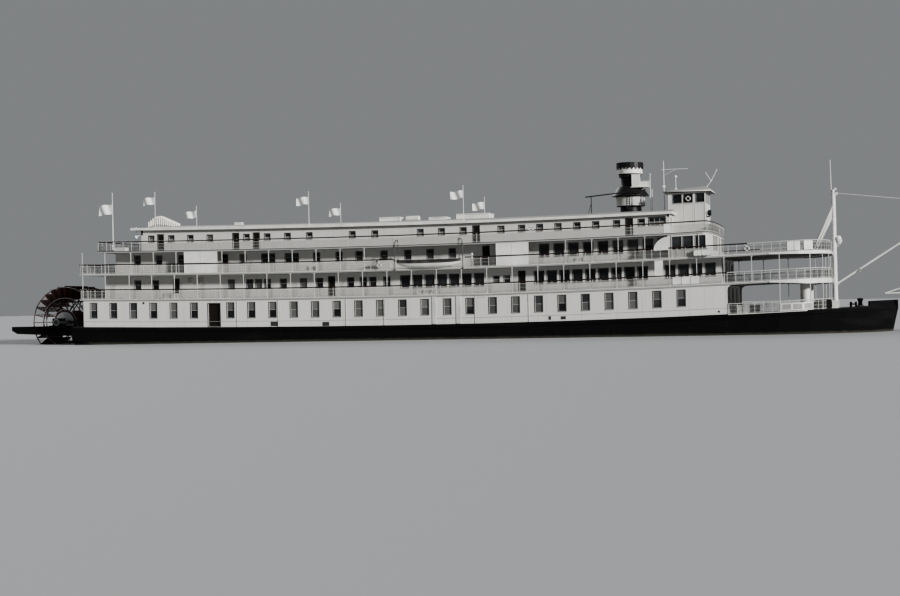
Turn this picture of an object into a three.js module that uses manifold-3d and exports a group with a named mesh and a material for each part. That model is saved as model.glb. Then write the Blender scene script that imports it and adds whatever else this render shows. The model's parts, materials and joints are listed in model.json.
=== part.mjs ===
// A four-deck stern-wheel river steamer as a 1:10 scale model, so 1 mm here is 1 cm on the ship.
// +X points to the bow, +Z up, starboard is -Y. The origin is on the flat hull bottom, amidships.
import * as THREE from "three";
import { mergeVertices } from "three/addons/utils/BufferGeometryUtils.js";
import Module from "manifold-3d";

const wasm = await Module();
wasm.setup();

// Clear gap left between pieces that rest on each other
const GAP = 0.3;

// Heights above the hull bottom at the lowest point of the sheer
const MAIN_DECK = 360;
const DECK_2 = 634;
const DECK_3 = 877;
const DECK_4 = 1098;
const SLAB = 18;
const EAVE = 1272;
const RAIL_HEIGHT = 92;

// Half widths
const HALF_BEAM = 884;
const HOUSE_HALF = 874;
const CABIN_HALF = 724;
const TEXAS_HALF = 500;
const PILOT_HALF = 220;
const RAIL_PLANE = 881;

// Stations along the ship
const TRANSOM = -3830;
const RAKE_START = -3100;
const HOUSE_AFT = -3696;
const HOUSE_FORE = 2500;
const GALLERY_AFT = -3730;
const FRONT_START = 3020;
const FRONT_END = 3385;
const DECK_4_AFT = -3530;
const DECK_4_FRONT_START = 2300;
const DECK_4_FRONT_END = 2375;
const TEXAS_AFT = -3250;
const TEXAS_FORE = 1965;
const PILOT_AFT = 1926;
const PILOT_FORE = 2266;
const FUNNEL_X = 1547;
const MAST_X = 3405;
const MAST_Y = 300;
const BOAT_AFT = -510;
const BOAT_FORE = 120;

// Sheer: every deck rises from one low point in straight runs between evenly spaced knots
const SHEER_LOW_X = -480;
const SHEER_RUN = 800;
const SHEER_FORE = 5.0e-6;
const SHEER_AFT = 3.3e-6;

const COLOURS = {
  black_hull: { color: 0x16171a, roughness: 0.55, metalness: 0.0 },
  funnel_black: { color: 0x141416, roughness: 0.5, metalness: 0.0 },
  white_house: { color: 0xdedcd4, roughness: 0.6, metalness: 0.0 },
  grey_deck: { color: 0x84847f, roughness: 0.8, metalness: 0.0 },
  white_rail: { color: 0xd6d5cf, roughness: 0.6, metalness: 0.0 },
  roof: { color: 0xb9b8b2, roughness: 0.8, metalness: 0.0 },
  wheel_red: { color: 0x5a1d18, roughness: 0.7, metalness: 0.0 },
  iron: { color: 0x3a3a3c, roughness: 0.5, metalness: 0.8 },
  dark_wood: { color: 0x35241a, roughness: 0.6, metalness: 0.0 },
  flag_cloth: { color: 0xe4e2dc, roughness: 0.9, metalness: 0.0 },
};

/** Height that the sheer adds at a station, straight between knots. */
function sheer(x) {
  const rise = (k) => (k >= 0 ? SHEER_FORE : SHEER_AFT) * (k * SHEER_RUN) ** 2;
  const place = (x - SHEER_LOW_X) / SHEER_RUN;
  const low = Math.floor(place);
  return rise(low) + (place - low) * (rise(low + 1) - rise(low));
}

/** Sheer knots strictly between two stations, in the order of travel. */
function knotsBetween(a, b) {
  const knots = [];
  for (let k = -5; k <= 6; k++) {
    const x = SHEER_LOW_X + k * SHEER_RUN;
    if (x > Math.min(a, b) + 1 && x < Math.max(a, b) - 1) knots.push(x);
  }
  return a < b ? knots : knots.reverse();
}

/** Stations of a long piece: its two ends and the knots between them. */
function runStations(a, b) {
  return [a, ...knotsBetween(a, b), b];
}

/** Outline in X and Z with the sheer added, and a corner where an edge passes a knot. */
function bent(points) {
  const out = [];
  points.forEach(([x, z], i) => {
    const [nextX, nextZ] = points[(i + 1) % points.length];
    out.push(new THREE.Vector2(x, z + sheer(x)));
    for (const knot of knotsBetween(x, nextX)) {
      const level = z + ((nextZ - z) * (knot - x)) / (nextX - x);
      out.push(new THREE.Vector2(knot, level + sheer(knot)));
    }
  });
  return out;
}

/** Plate in an X-Z plane between y and y + thickness, from a shape of Vector2 points. */
function plateXZ(points, holes, y, thickness) {
  const shape = new THREE.Shape(points);
  shape.holes = holes.map((hole) => new THREE.Path(hole));
  const plate = new THREE.ExtrudeGeometry(shape, { depth: thickness, bevelEnabled: false, curveSegments: 1 });
  plate.rotateX(Math.PI / 2);
  plate.translate(0, y + thickness, 0);
  return plate;
}

/** Rectangle as four corners: u0 to u1 across, v0 to v1 up. */
function rectangle(u0, u1, v0, v1) {
  return [[u0, v0], [u1, v0], [u1, v1], [u0, v1]];
}

/** Closed body through stations, each a ring of [x, y, z] points with the same count. */
function loft(rings) {
  const count = rings[0].length;
  const positions = rings.flat(2);
  const index = [];
  for (let r = 0; r + 1 < rings.length; r++) {
    for (let i = 0; i < count; i++) {
      const a = r * count + i;
      const b = r * count + ((i + 1) % count);
      index.push(a, b, b + count, a, b + count, a + count);
    }
  }
  const flat = (ring) => ring.map(([, y, z]) => new THREE.Vector2(y, z));
  const cap = (ring) => THREE.ShapeUtils.triangulateShape(flat(ring), []);
  const last = (rings.length - 1) * count;
  for (const [a, b, c] of cap(rings[0])) index.push(c, b, a);
  for (const [a, b, c] of cap(rings[rings.length - 1])) index.push(last + a, last + b, last + c);
  const body = new THREE.BufferGeometry();
  body.setAttribute("position", new THREE.Float32BufferAttribute(positions, 3));
  body.setIndex(index);
  return body;
}

/** Box between two corners. */
function block(x0, x1, y0, y1, z0, z1) {
  const box = new THREE.BoxGeometry(x1 - x0, y1 - y0, z1 - z0);
  box.translate((x0 + x1) / 2, (y0 + y1) / 2, (z0 + z1) / 2);
  return box;
}

/** Round bar between two points. */
function bar(from, to, radius, sides = 8, radiusTo = radius) {
  const start = new THREE.Vector3(...from);
  const way = new THREE.Vector3(...to).sub(start);
  const rod = new THREE.CylinderGeometry(radiusTo, radius, way.length(), sides);
  rod.translate(0, way.length() / 2, 0);
  rod.applyQuaternion(new THREE.Quaternion().setFromUnitVectors(new THREE.Vector3(0, 1, 0), way.normalize()));
  rod.translate(...from);
  return rod;
}

// Points are rounded to this many steps per unit before they are merged
const FINE_GRID = 256;

/** Geometry as a solid for joining and cutting. */
function solid(geometry) {
  const bare = geometry.clone();
  bare.deleteAttribute("normal");
  bare.deleteAttribute("uv");
  const place = bare.attributes.position.array;
  for (let i = 0; i < place.length; i++) place[i] = Math.round(place[i] * FINE_GRID) / FINE_GRID;
  const merged = mergeVertices(bare, 1e-4);
  return new wasm.Manifold(new wasm.Mesh({
    numProp: 3,
    vertProperties: new Float32Array(merged.attributes.position.array),
    triVerts: new Uint32Array(merged.index.array),
  }));
}

/** Solid back to a geometry. */
function geometryOf(manifold) {
  const mesh = manifold.getMesh();
  const geometry = new THREE.BufferGeometry();
  geometry.setAttribute("position", new THREE.BufferAttribute(mesh.vertProperties, 3));
  geometry.setIndex(new THREE.BufferAttribute(mesh.triVerts, 1));
  return geometry;
}

/** Several geometries joined into one body, then the cutters taken away. */
function joined(pieces, cutters = []) {
  let whole = solid(pieces[0]);
  for (const piece of pieces.slice(1)) whole = whole.add(solid(piece));
  for (const cutter of cutters) whole = whole.subtract(solid(cutter));
  return geometryOf(whole);
}

// Curved fronts of the decks: a rounded end from full beam to the centre line
const FRONT_POWER = 2 / 2.6;
const FRONT_ANGLES = [0, 10, 18, 26, 34, 42, 51, 60, 69, 78].map((degrees) => (degrees * Math.PI) / 180);

/** Point on a rounded deck front, starboard side, pulled in by an inset. */
function frontPoint(angle, start, end, half, inset) {
  const x = start + (end - inset - start) * Math.sin(angle) ** FRONT_POWER;
  const y = (half - inset) * Math.cos(angle) ** FRONT_POWER;
  return [x, y];
}

/** Deck slab with a square aft end and a rounded front. */
function deckSlab(aft, start, end, top) {
  const rows = runStations(aft, start).map((x) => [x, HALF_BEAM]);
  for (const angle of FRONT_ANGLES.slice(1)) rows.push(frontPoint(angle, start, end, HALF_BEAM, 0));
  return loft(rows.map(([x, half]) => {
    const level = top + sheer(x);
    return [[x, -half, level - SLAB], [x, half, level - SLAB], [x, half, level], [x, -half, level]];
  }));
}

/** Upright band that follows a rounded deck front from one side to the other. */
function frontBand(start, end, inset, thickness, bottom, top) {
  const outer = [];
  const inner = [];
  for (const angle of FRONT_ANGLES) {
    outer.push(frontPoint(angle, start, end, HALF_BEAM, inset));
    inner.push(frontPoint(angle, start, end, HALF_BEAM, inset + thickness));
  }
  const plan = [
    ...outer.map(([x, y]) => [x, -y]),
    ...outer.slice().reverse(),
    ...inner,
    ...inner.slice().reverse().map(([x, y]) => [x, -y]),
  ];
  const shape = new THREE.Shape(plan.map(([x, y]) => new THREE.Vector2(x, y)));
  const band = new THREE.ExtrudeGeometry(shape, { depth: top - bottom, bevelEnabled: false });
  band.translate(0, 0, bottom);
  const place = band.attributes.position;
  for (let i = 0; i < place.count; i++) place.setZ(i, place.getZ(i) + sheer(place.getX(i)));
  return band;
}

const model = new THREE.Group();
const materials = {};
for (const [name, look] of Object.entries(COLOURS)) materials[name] = new THREE.MeshStandardMaterial(look);

/** Adds one named piece to the ship. */
function add(name, geometry, look) {
  const mesh = new THREE.Mesh(geometry, materials[look]);
  mesh.name = name;
  model.add(mesh);
}

// Hull: flat bottom, square bilge with a chamfer, raked stern, rounded bow and a rubbing strake
const BILGE = 60;
const STRAKE_DEPTH = 34;
const STRAKE_PROUD = 8;
const BULWARK_START = 3700;
const BULWARK_HEIGHT = 42;

// Columns: deck station, deck half width, bottom station, bottom half width, bottom height
const HULL_ROWS = [
  [TRANSOM, 884, TRANSOM, 800, 215],
  [-3680, 884, -3680, 810, 183],
  [-3500, 884, -3500, 824, 140],
  [-3300, 884, -3300, 824, 60],
  [RAKE_START, 884, RAKE_START, 824, 0],
  [-2880, 884, -2880, 824, 0],
  [-2080, 884, -2080, 824, 0],
  [-1280, 884, -1280, 824, 0],
  [-480, 884, -480, 824, 0],
  [320, 884, 320, 824, 0],
  [1120, 884, 1120, 824, 0],
  [1920, 884, 1920, 824, 0],
  [2720, 884, 2600, 824, 0],
  [2960, 883, 2780, 800, 0],
  [3240, 837, 3020, 735, 0],
  [3520, 713, 3300, 590, 0],
  [3700, 574, 3500, 440, 0],
  [3820, 427, 3640, 300, 0],
  [3900, 270, 3750, 165, 8],
  [3940, 122, 3810, 70, 20],
  [3950, 40, 3830, 20, 30],
];

/** Section ring of the hull from one row of its table. */
function hullRing([deckX, deckHalf, bottomX, bottomHalf, bottom]) {
  const deck = MAIN_DECK + sheer(deckX);
  const side = deckHalf - STRAKE_PROUD;
  const chine = bottomHalf + (side - bottomHalf) * 0.9;
  const chineX = bottomX + (deckX - bottomX) * 0.35;
  const starboard = [
    [bottomX, -bottomHalf, bottom],
    [chineX, -chine, bottom + BILGE],
    [deckX, -side, deck - STRAKE_DEPTH],
    [deckX, -deckHalf, deck - STRAKE_DEPTH],
    [deckX, -deckHalf, deck],
  ];
  const port = starboard.map(([x, y, z]) => [x, -y, z]).reverse();
  return [...port, ...starboard].reverse();
}

/** Low bulwark that stands on the deck edge round the bow. */
function bowBulwark() {
  const rows = HULL_ROWS.filter(([x]) => x >= BULWARK_START);
  const outer = rows.map(([x, half]) => [x, half]);
  const inner = rows.map(([x, half]) => [x - 8, Math.max(half - 10, 12)]);
  const plan = [
    ...outer.map(([x, y]) => [x, -y]),
    ...outer.slice().reverse(),
    ...inner,
    ...inner.slice().reverse().map(([x, y]) => [x, -y]),
  ];
  const shape = new THREE.Shape(plan.map(([x, y]) => new THREE.Vector2(x, y)));
  const depth = BULWARK_HEIGHT + STRAKE_DEPTH / 2;
  const wall = new THREE.ExtrudeGeometry(shape, { depth, bevelEnabled: false });
  wall.translate(0, 0, MAIN_DECK - STRAKE_DEPTH / 2);
  const place = wall.attributes.position;
  for (let i = 0; i < place.count; i++) place.setZ(i, place.getZ(i) + sheer(place.getX(i)));
  return wall;
}

/** Pair of mooring bitts on the foredeck with their cross bar. */
function bitts(x, y) {
  const level = MAIN_DECK + sheer(x);
  return [
    bar([x - 22, y, level - 4], [x - 22, y, level + 46], 9),
    bar([x + 22, y, level - 4], [x + 22, y, level + 46], 9),
    block(x - 34, x + 34, y - 4, y + 4, level + 22, level + 30),
  ];
}

const CAPSTAN_X = 3620;

/** Foredeck capstan: drum on a round base. */
function capstan() {
  const level = MAIN_DECK + sheer(CAPSTAN_X);
  const outline = [[0, -6], [40, -6], [40, 6], [22, 12], [18, 40], [26, 62], [26, 74], [0, 78]];
  const drum = new THREE.LatheGeometry(outline.map(([r, z]) => new THREE.Vector2(r, z)), 12);
  drum.rotateX(Math.PI / 2);
  drum.translate(CAPSTAN_X, 0, level);
  return drum;
}

add("hull", joined([
  loft(HULL_ROWS.map(hullRing)),
  bowBulwark(),
  ...bitts(3560, -480),
  ...bitts(3560, 480),
  capstan(),
]), "black_hull");

// Cylinder beams that run aft on both sides of the wheel and carry its bearings
const WHEEL_X = -4240;
const WHEEL_Z = 442;
const BEAM_AFT = -4760;
const BEAM_INNER = 350;
const BEAM_OUTER = 400;
const BEAM_TOP = 404;
const BEAM_BOTTOM = 330;
const SHAFT_RADIUS = 22;
const PIN_CLEAR = 0.6;

for (const [side, sign] of [["starboard", -1], ["port", 1]]) {
  const inner = sign * BEAM_INNER;
  const outer = sign * BEAM_OUTER;
  const y0 = Math.min(inner, outer);
  const y1 = Math.max(inner, outer);
  const beam = plateXZ([
    [TRANSOM - GAP, BEAM_TOP], [BEAM_AFT, BEAM_TOP], [BEAM_AFT, BEAM_TOP - 40],
    [BEAM_AFT + 60, BEAM_BOTTOM], [TRANSOM - GAP, BEAM_BOTTOM - 40],
  ].map(([x, z]) => new THREE.Vector2(x, z)), [], y0, y1 - y0);
  const bearing = block(WHEEL_X - 60, WHEEL_X + 60, y0, y1, BEAM_TOP - 5, WHEEL_Z + 40);
  const bore = bar([WHEEL_X, y0 - 5, WHEEL_Z], [WHEEL_X, y1 + 5, WHEEL_Z], SHAFT_RADIUS + PIN_CLEAR, 16);
  add(`cylinder_beam_${side}`, joined([beam, bearing], [bore]), "black_hull");
}

// Windows and doors. Columns: width, sill and head above the deck
const OPENINGS = {
  sash: [64, 88, 232],
  cargo: [118, 6, 226],
  door: [58, 8, 190],
  window: [58, 92, 176],
  small: [52, 96, 152],
  wide: [146, 92, 160],
  glazed: [84, 70, 184],
  pilot: [78, 300, 378],
  front: [84, 300, 378],
};

/** Places at an even pitch. */
function pitched(first, pitch, count) {
  return Array.from({ length: count }, (_, i) => first + i * pitch);
}

const CARGO_DOOR_X = -2327;
const MAIN_OPENINGS = [
  ...pitched(-3588, 211, 6).map((x) => [x, "sash"]),
  [CARGO_DOOR_X, "cargo"],
  ...pitched(-2159, 212.9, 21).map((x) => [x, "sash"]),
];
const CABIN_2_OPENINGS = [
  [-3186, "window"], [-2998, "window"], [-2780, "door"], [-2207, "window"],
  [-2018, "window"], [-1928, "window"], [-1838, "window"], [-1676, "window"], [-1473, "window"],
  [-1312, "window"], [-1192, "door"], [-1004, "window"], [-879, "window"], [-785, "window"],
  [-648, "window"],
  ...pitched(-470, 118, 7).map((x) => [x, "glazed"]),
  [400, "small"], [500, "small"], [640, "door"],
  ...pitched(800, 118, 9).map((x) => [x, "glazed"]),
  ...pitched(1990, 118, 4).map((x) => [x, "glazed"]),
];
const CABIN_3_OPENINGS = [
  [-3186, "window"], [-2958, "window"], [-2717, "window"], [-2272, "window"], [-2082, "window"],
  [-1862, "window"], [-1790, "window"], [-1622, "window"], [-1550, "window"], [-1337, "window"],
  [-1113, "window"], [-915, "window"], [-670, "window"], [-439, "window"], [-224, "window"],
  [-11, "window"], [309, "door"],
  ...pitched(852, 135, 9).map((x) => [x, "glazed"]),
];
const TEXAS_OPENINGS = [
  ...[-3141, -2926, -2723, -2517, -2133, -1918, -1709, -1486, -1051, -826, -377, -170, 41, 404, 600,
    770, 943, 1120, 1294, 1486, 1712].map((x) => [x, "small"]),
  ...[-3042, -2246, -2031, 165, 1600].map((x) => [x, "door"]),
  [1854, "wide"],
];

/** Cutters for the windows and doors of a side wall, with the sheer added. */
function cutters(openings, deck, y, thickness) {
  return openings.map(([x, kind]) => {
    const [width, sill, head] = OPENINGS[kind];
    const outline = rectangle(x - width / 2, x + width / 2, deck + sill, deck + head);
    return plateXZ(bent(outline), [], y - 5, thickness + 10);
  });
}

/** Side wall panels, starboard and port, from a shared outline. */
function sideWalls(name, outline, openings, deck, half, thickness) {
  for (const [side, sign] of [["starboard", -1], ["port", 1]]) {
    const y = sign < 0 ? -half : half - thickness;
    const wall = plateXZ(bent(outline), [], y, thickness);
    add(`${name}_${side}`, joined([wall], cutters(openings, deck, y, thickness)), "white_house");
  }
}

/** Wall across the ship, between its side walls. */
function crossWall(name, x, thickness, half, deck, top, openings) {
  const shift = sheer(x + thickness / 2);
  const slope = Math.abs(sheer(x + thickness) - sheer(x));
  const wall = block(x, x + thickness, -half, half, deck + GAP + slope + shift, top - GAP - slope + shift);
  const cuts = openings.map(([y, kind]) => {
    const [width, sill, head] = OPENINGS[kind];
    const level = deck + shift;
    return block(x - 5, x + thickness + 5, y - width / 2, y + width / 2, level + sill, level + head);
  });
  add(name, joined([wall], cuts), "white_house");
}

// Main deck house: full-beam side walls that go on forward as a rail with columns
const HOUSE_WALL = 12;
const MAIN_HEAD = DECK_2 - SLAB - GAP;
const FORE_COLUMNS = [2740, 2950];
const COLUMN = 8;

/** Side outline of the main deck: wall aft, then the low foredeck rail with its columns. */
function mainSideOutline() {
  const rail = MAIN_DECK + RAIL_HEIGHT;
  const foot = MAIN_DECK + GAP;
  const points = [[HOUSE_AFT, foot], [FRONT_START - 4, foot], [FRONT_START - 4, rail]];
  for (const x of FORE_COLUMNS.slice().reverse()) {
    const [aft, fore] = [x - COLUMN / 2, x + COLUMN / 2];
    points.push([fore, rail], [fore, MAIN_HEAD], [aft, MAIN_HEAD], [aft, rail]);
  }
  points.push([HOUSE_FORE, rail], [HOUSE_FORE, MAIN_HEAD - 45], [HOUSE_FORE + 6, MAIN_HEAD - 20],
    [HOUSE_FORE + 30, MAIN_HEAD - 4], [HOUSE_FORE + 60, MAIN_HEAD], [HOUSE_AFT, MAIN_HEAD]);
  return points;
}

sideWalls("main_house", mainSideOutline(), MAIN_OPENINGS, MAIN_DECK, HOUSE_HALF, HOUSE_WALL);
const INNER_HOUSE = HOUSE_HALF - HOUSE_WALL - GAP;
crossWall("main_house_aft", HOUSE_AFT, HOUSE_WALL, INNER_HOUSE, MAIN_DECK, DECK_2 - SLAB,
  [[-640, "door"], [640, "door"], [-200, "sash"], [200, "sash"]]);
crossWall("main_house_front", HOUSE_FORE - HOUSE_WALL - 20, HOUSE_WALL, INNER_HOUSE, MAIN_DECK, DECK_2 - SLAB,
  [[-600, "sash"], [-420, "sash"], [0, "cargo"], [420, "sash"], [600, "sash"]]);

// Decks
add("deck_2", deckSlab(GALLERY_AFT, FRONT_START, FRONT_END, DECK_2), "grey_deck");
add("deck_3", deckSlab(GALLERY_AFT, FRONT_START, FRONT_END, DECK_3), "grey_deck");
add("deck_4", deckSlab(DECK_4_AFT, DECK_4_FRONT_START, DECK_4_FRONT_END, DECK_4), "grey_deck");

// Cabins on decks 2 and 3, set in behind the galleries
const CABIN_WALL = 10;
const CABIN_2_FORE = 2440;
const CABIN_3_FORE = 1984;
const CABINS = [
  ["cabin_2", -3540, CABIN_2_FORE, DECK_2, DECK_3 - SLAB, CABIN_2_OPENINGS],
  ["cabin_3", -3420, CABIN_3_FORE, DECK_3, DECK_4 - SLAB, CABIN_3_OPENINGS],
];
const INNER_CABIN = CABIN_HALF - CABIN_WALL - GAP;
const CABIN_AFT_OPENINGS = [[-480, "window"], [-160, "door"], [160, "door"], [480, "window"]];
for (const [name, aft, fore, deck, head, openings] of CABINS) {
  sideWalls(name, rectangle(aft, fore, deck + GAP, head - GAP), openings, deck, CABIN_HALF, CABIN_WALL);
  crossWall(`${name}_aft`, aft, CABIN_WALL, INNER_CABIN, deck, head, CABIN_AFT_OPENINGS);
}
crossWall("cabin_2_front", CABIN_2_FORE - CABIN_WALL, CABIN_WALL, INNER_CABIN, DECK_2, DECK_3 - SLAB,
  [[-560, "glazed"], [-420, "glazed"], [-140, "door"], [140, "door"], [420, "glazed"], [560, "glazed"]]);

// Full-beam lounge at the front of deck 3: its side windows, then those of its rounded front
const LOUNGE_AFT = 1990;
const LOUNGE_INSET = 8;
const LOUNGE_SIDE_OPENINGS = [[2064, "glazed"], [2165, "glazed"], [2275, "glazed"]];
const LOUNGE_FRONT_WINDOWS = [-500, -380, -260, 260, 380, 500];

/** Walls of the lounge: two returns to the cabin, two sides and the rounded front. */
function loungeWalls() {
  const foot = DECK_3 + GAP;
  const head = DECK_4 - SLAB - GAP;
  const pieces = [frontBand(DECK_4_FRONT_START, DECK_4_FRONT_END, LOUNGE_INSET, CABIN_WALL, foot, head)];
  const cuts = [];
  const outer = HALF_BEAM - LOUNGE_INSET;
  const end = LOUNGE_AFT + CABIN_WALL;
  for (const sign of [-1, 1]) {
    const y = sign < 0 ? -outer : outer - CABIN_WALL;
    const inboard = sign < 0 ? -outer : INNER_CABIN;
    const outboard = sign < 0 ? -INNER_CABIN : outer;
    pieces.push(plateXZ(bent(rectangle(LOUNGE_AFT, DECK_4_FRONT_START + 2, foot, head)), [], y, CABIN_WALL));
    pieces.push(block(LOUNGE_AFT, end, inboard, outboard, foot + sheer(end), head + sheer(LOUNGE_AFT)));
    cuts.push(...cutters(LOUNGE_SIDE_OPENINGS, DECK_3, y - 8, CABIN_WALL + 16));
  }
  const level = DECK_3 + sheer(DECK_4_FRONT_END);
  const [aft, fore] = [DECK_4_FRONT_START + 5, DECK_4_FRONT_END + 5];
  const [, sill, top] = OPENINGS.glazed;
  for (const y of LOUNGE_FRONT_WINDOWS) {
    cuts.push(block(aft, fore, y - 42, y + 42, level + sill, level + top));
  }
  cuts.push(block(aft, fore, -40, 40, level + 10, level + top));
  return joined(pieces, cuts);
}
add("cabin_3_front", loungeWalls(), "white_house");

// Texas: the crew cabins on deck 4
const TEXAS_OUTLINE = rectangle(TEXAS_AFT, TEXAS_FORE, DECK_4 + GAP, EAVE - GAP);
sideWalls("texas", TEXAS_OUTLINE, TEXAS_OPENINGS, DECK_4, TEXAS_HALF, CABIN_WALL);
const INNER_TEXAS = TEXAS_HALF - CABIN_WALL - GAP;
crossWall("texas_aft", TEXAS_AFT, CABIN_WALL, INNER_TEXAS, DECK_4, EAVE,
  [[-300, "door"], [0, "small"], [300, "door"]]);

// The forward wall steps back round the pilothouse, which stands in the front of the texas
const RECESS_X = PILOT_AFT - 18;
const RECESS_HALF = PILOT_HALF + 4;
const TEXAS_FRONT_WINDOW = 360;

/** Forward wall of the texas: two wings, two returns and the wall behind the pilothouse. */
function texasFront() {
  const pieces = [];
  const foot = DECK_4 + GAP;
  const head = EAVE - GAP;
  const cuts = [];
  const back = RECESS_X - CABIN_WALL;
  const wing = TEXAS_FORE - CABIN_WALL;
  const behind = RECESS_HALF + CABIN_WALL;
  pieces.push(block(back, RECESS_X, -behind, behind, foot + sheer(RECESS_X), head + sheer(back)));
  for (const sign of [-1, 1]) {
    const y = sign < 0 ? -behind : RECESS_HALF;
    const [low, high] = sign < 0 ? [-INNER_TEXAS, -RECESS_HALF] : [RECESS_HALF, INNER_TEXAS];
    pieces.push(plateXZ(bent(rectangle(back, TEXAS_FORE, foot, head)), [], y, CABIN_WALL));
    pieces.push(block(wing, TEXAS_FORE, low, high, foot + sheer(TEXAS_FORE), head + sheer(wing)));
    const [width, sill, top] = OPENINGS.small;
    const edge = sign * TEXAS_FRONT_WINDOW - width / 2;
    const level = DECK_4 + sheer(wing);
    cuts.push(block(wing - 5, TEXAS_FORE + 5, edge, edge + width, level + sill, level + top));
  }
  return joined(pieces, cuts);
}
add("texas_front", texasFront(), "white_house");

// Texas roof: a flat canopy aft, then a cambered roof with what stands on it
const ROOF_AFT = -3340;
const CROWN_AFT = -2960;
const ROOF_FORE = 1989;
const ROOF_HALF = 540;
const ROOF_EDGE = 14;
const ROOF_CAMBER = 74;
const CAMBER_STEPS = 8;

/** Roof height above the eave at a distance from the centre line. */
function camber(y) {
  return ROOF_EDGE + ROOF_CAMBER * (1 - (y / ROOF_HALF) ** 2);
}

/** Height of the roof's flat facets above the eave at a distance from the centre line. */
function roofLevel(y) {
  const width = (2 * ROOF_HALF) / CAMBER_STEPS;
  const low = Math.floor(y / width) * width;
  return camber(low) + ((y - low) / width) * (camber(low + width) - camber(low));
}

/** Cambered part of the roof. */
function crownRoof() {
  const width = (2 * ROOF_HALF) / CAMBER_STEPS;
  const arc = Array.from({ length: CAMBER_STEPS + 1 }, (_, i) => ROOF_HALF - i * width);
  return loft(runStations(CROWN_AFT, ROOF_FORE).map((x) => {
    const eave = EAVE + sheer(x);
    return [[x, -ROOF_HALF, eave], [x, ROOF_HALF, eave], ...arc.map((y) => [x, y, eave + camber(y)])];
  }));
}

/** Flat canopy aft of the crown. */
function canopyRoof() {
  return loft(runStations(ROOF_AFT, CROWN_AFT + 20).map((x) => {
    const eave = EAVE + sheer(x);
    const top = eave + ROOF_EDGE;
    return [[x, -ROOF_HALF, eave], [x, ROOF_HALF, eave], [x, ROOF_HALF, top], [x, -ROOF_HALF, top]];
  }));
}

// Boxes on the roof. Columns: aft end, fore end, half width, height above the crown
const ROOF_BOXES = [
  [-914, -709, 60, 42],
  [-668, -516, 50, 50],
  [-404, -233, 90, 28],
  [-123, 196, 110, 48],
  [-2450, -2380, 30, 26],
];

/** One box on the roof crown. */
function roofBox([aft, fore, half, height]) {
  const crown = EAVE + ROOF_EDGE + ROOF_CAMBER + sheer((aft + fore) / 2);
  return block(aft, fore, -half, half, crown - 12, crown + height);
}

// Calliope: a row of whistles that rises and falls over the aft canopy
const CALLIOPE = [[-3325, 0], [-3050, 0], [-3050, 40], [-3230, 118], [-3325, 60]];
const CALLIOPE_HALF = 26;

/** Whistle row as one upright plate on the canopy. */
function calliope() {
  const base = EAVE + ROOF_EDGE - 4;
  const outline = CALLIOPE.map(([x, z]) => [x, z + base]);
  return plateXZ(bent(outline), [], -CALLIOPE_HALF, 2 * CALLIOPE_HALF);
}

/** Cutter for the notch in which the pilothouse stands. */
function pilotNotch() {
  const half = PILOT_HALF + 2;
  return block(PILOT_AFT - 2, ROOF_FORE + 10, -half, half, EAVE - 50, EAVE + 250);
}

const ROOF_PIECES = [crownRoof(), canopyRoof(), calliope(), ...ROOF_BOXES.map(roofBox)];
add("texas_roof", joined(ROOF_PIECES, [pilotNotch()]), "roof");

// Railings: a thin plate for the rail and its mesh, with columns up to the deck above
const RAIL_THICK = 3;
const COLUMN_PITCH = 210;
const COLUMN_WIDTH = 6;

/** Side rail outline with columns between two stations, and a low sill where the boat lies. */
function railOutline(aft, fore, deck, head, columnsTo, boatGap) {
  const top = deck + RAIL_HEIGHT;
  const count = Math.floor((columnsTo - aft - 30) / COLUMN_PITCH) + 1;
  const places = head === null ? [] : pitched(aft + 30, COLUMN_PITCH, count);
  const [gapAft, gapFore] = [BOAT_AFT - 25, BOAT_FORE + 25];
  const points = [[aft, deck + GAP], [fore, deck + GAP], [fore, top]];
  let open = false;
  for (const x of places.slice().reverse()) {
    if (boatGap && x < BOAT_FORE + 40 && x > BOAT_AFT - 40) continue;
    if (boatGap && !open && x < BOAT_AFT - 40) {
      points.push([gapFore, top], [gapFore, deck + 10], [gapAft, deck + 10], [gapAft, top]);
      open = true;
    }
    const w = COLUMN_WIDTH / 2;
    points.push([x + w, top], [x + w, head], [x - w, head], [x - w, top]);
  }
  points.push([aft, top]);
  return points;
}

/** Rail along one side with its half of the rail across the stern. */
function sideRail(name, aft, fore, deck, head, columnsTo, boatGap) {
  const outline = bent(railOutline(aft + 4, fore, deck, head, columnsTo, boatGap));
  for (const [side, sign] of [["starboard", -1], ["port", 1]]) {
    const y = sign < 0 ? -RAIL_PLANE : RAIL_PLANE - RAIL_THICK;
    const run = plateXZ(outline, [], y, RAIL_THICK);
    const end = aft + 4;
    const level = deck + Math.max(sheer(end), sheer(end + RAIL_THICK)) + GAP;
    const [low, high] = sign < 0 ? [-RAIL_PLANE, -GAP] : [GAP, RAIL_PLANE];
    const stern = block(end, end + RAIL_THICK, low, high, level, level + RAIL_HEIGHT - 1);
    add(`${name}_${side}`, joined([run, stern]), "white_rail");
  }
}

/** Rail round a curved front, with columns where a deck lies above. */
function frontRail(name, start, end, deck, head, angles) {
  const band = frontBand(start, end, RAIL_THICK, RAIL_THICK, deck + GAP, deck + RAIL_HEIGHT);
  const columns = [];
  for (const angle of angles) {
    const [x, y] = frontPoint(angle, start, end, HALF_BEAM, RAIL_THICK + 1.5);
    for (const sign of [-1, 1]) {
      const lift = sheer(x);
      columns.push(block(x - 4, x + 4, sign * y - 4, sign * y + 4, deck + 1 + lift, head + lift - GAP));
    }
  }
  add(name, joined([band, ...columns]), "white_rail");
}

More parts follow.
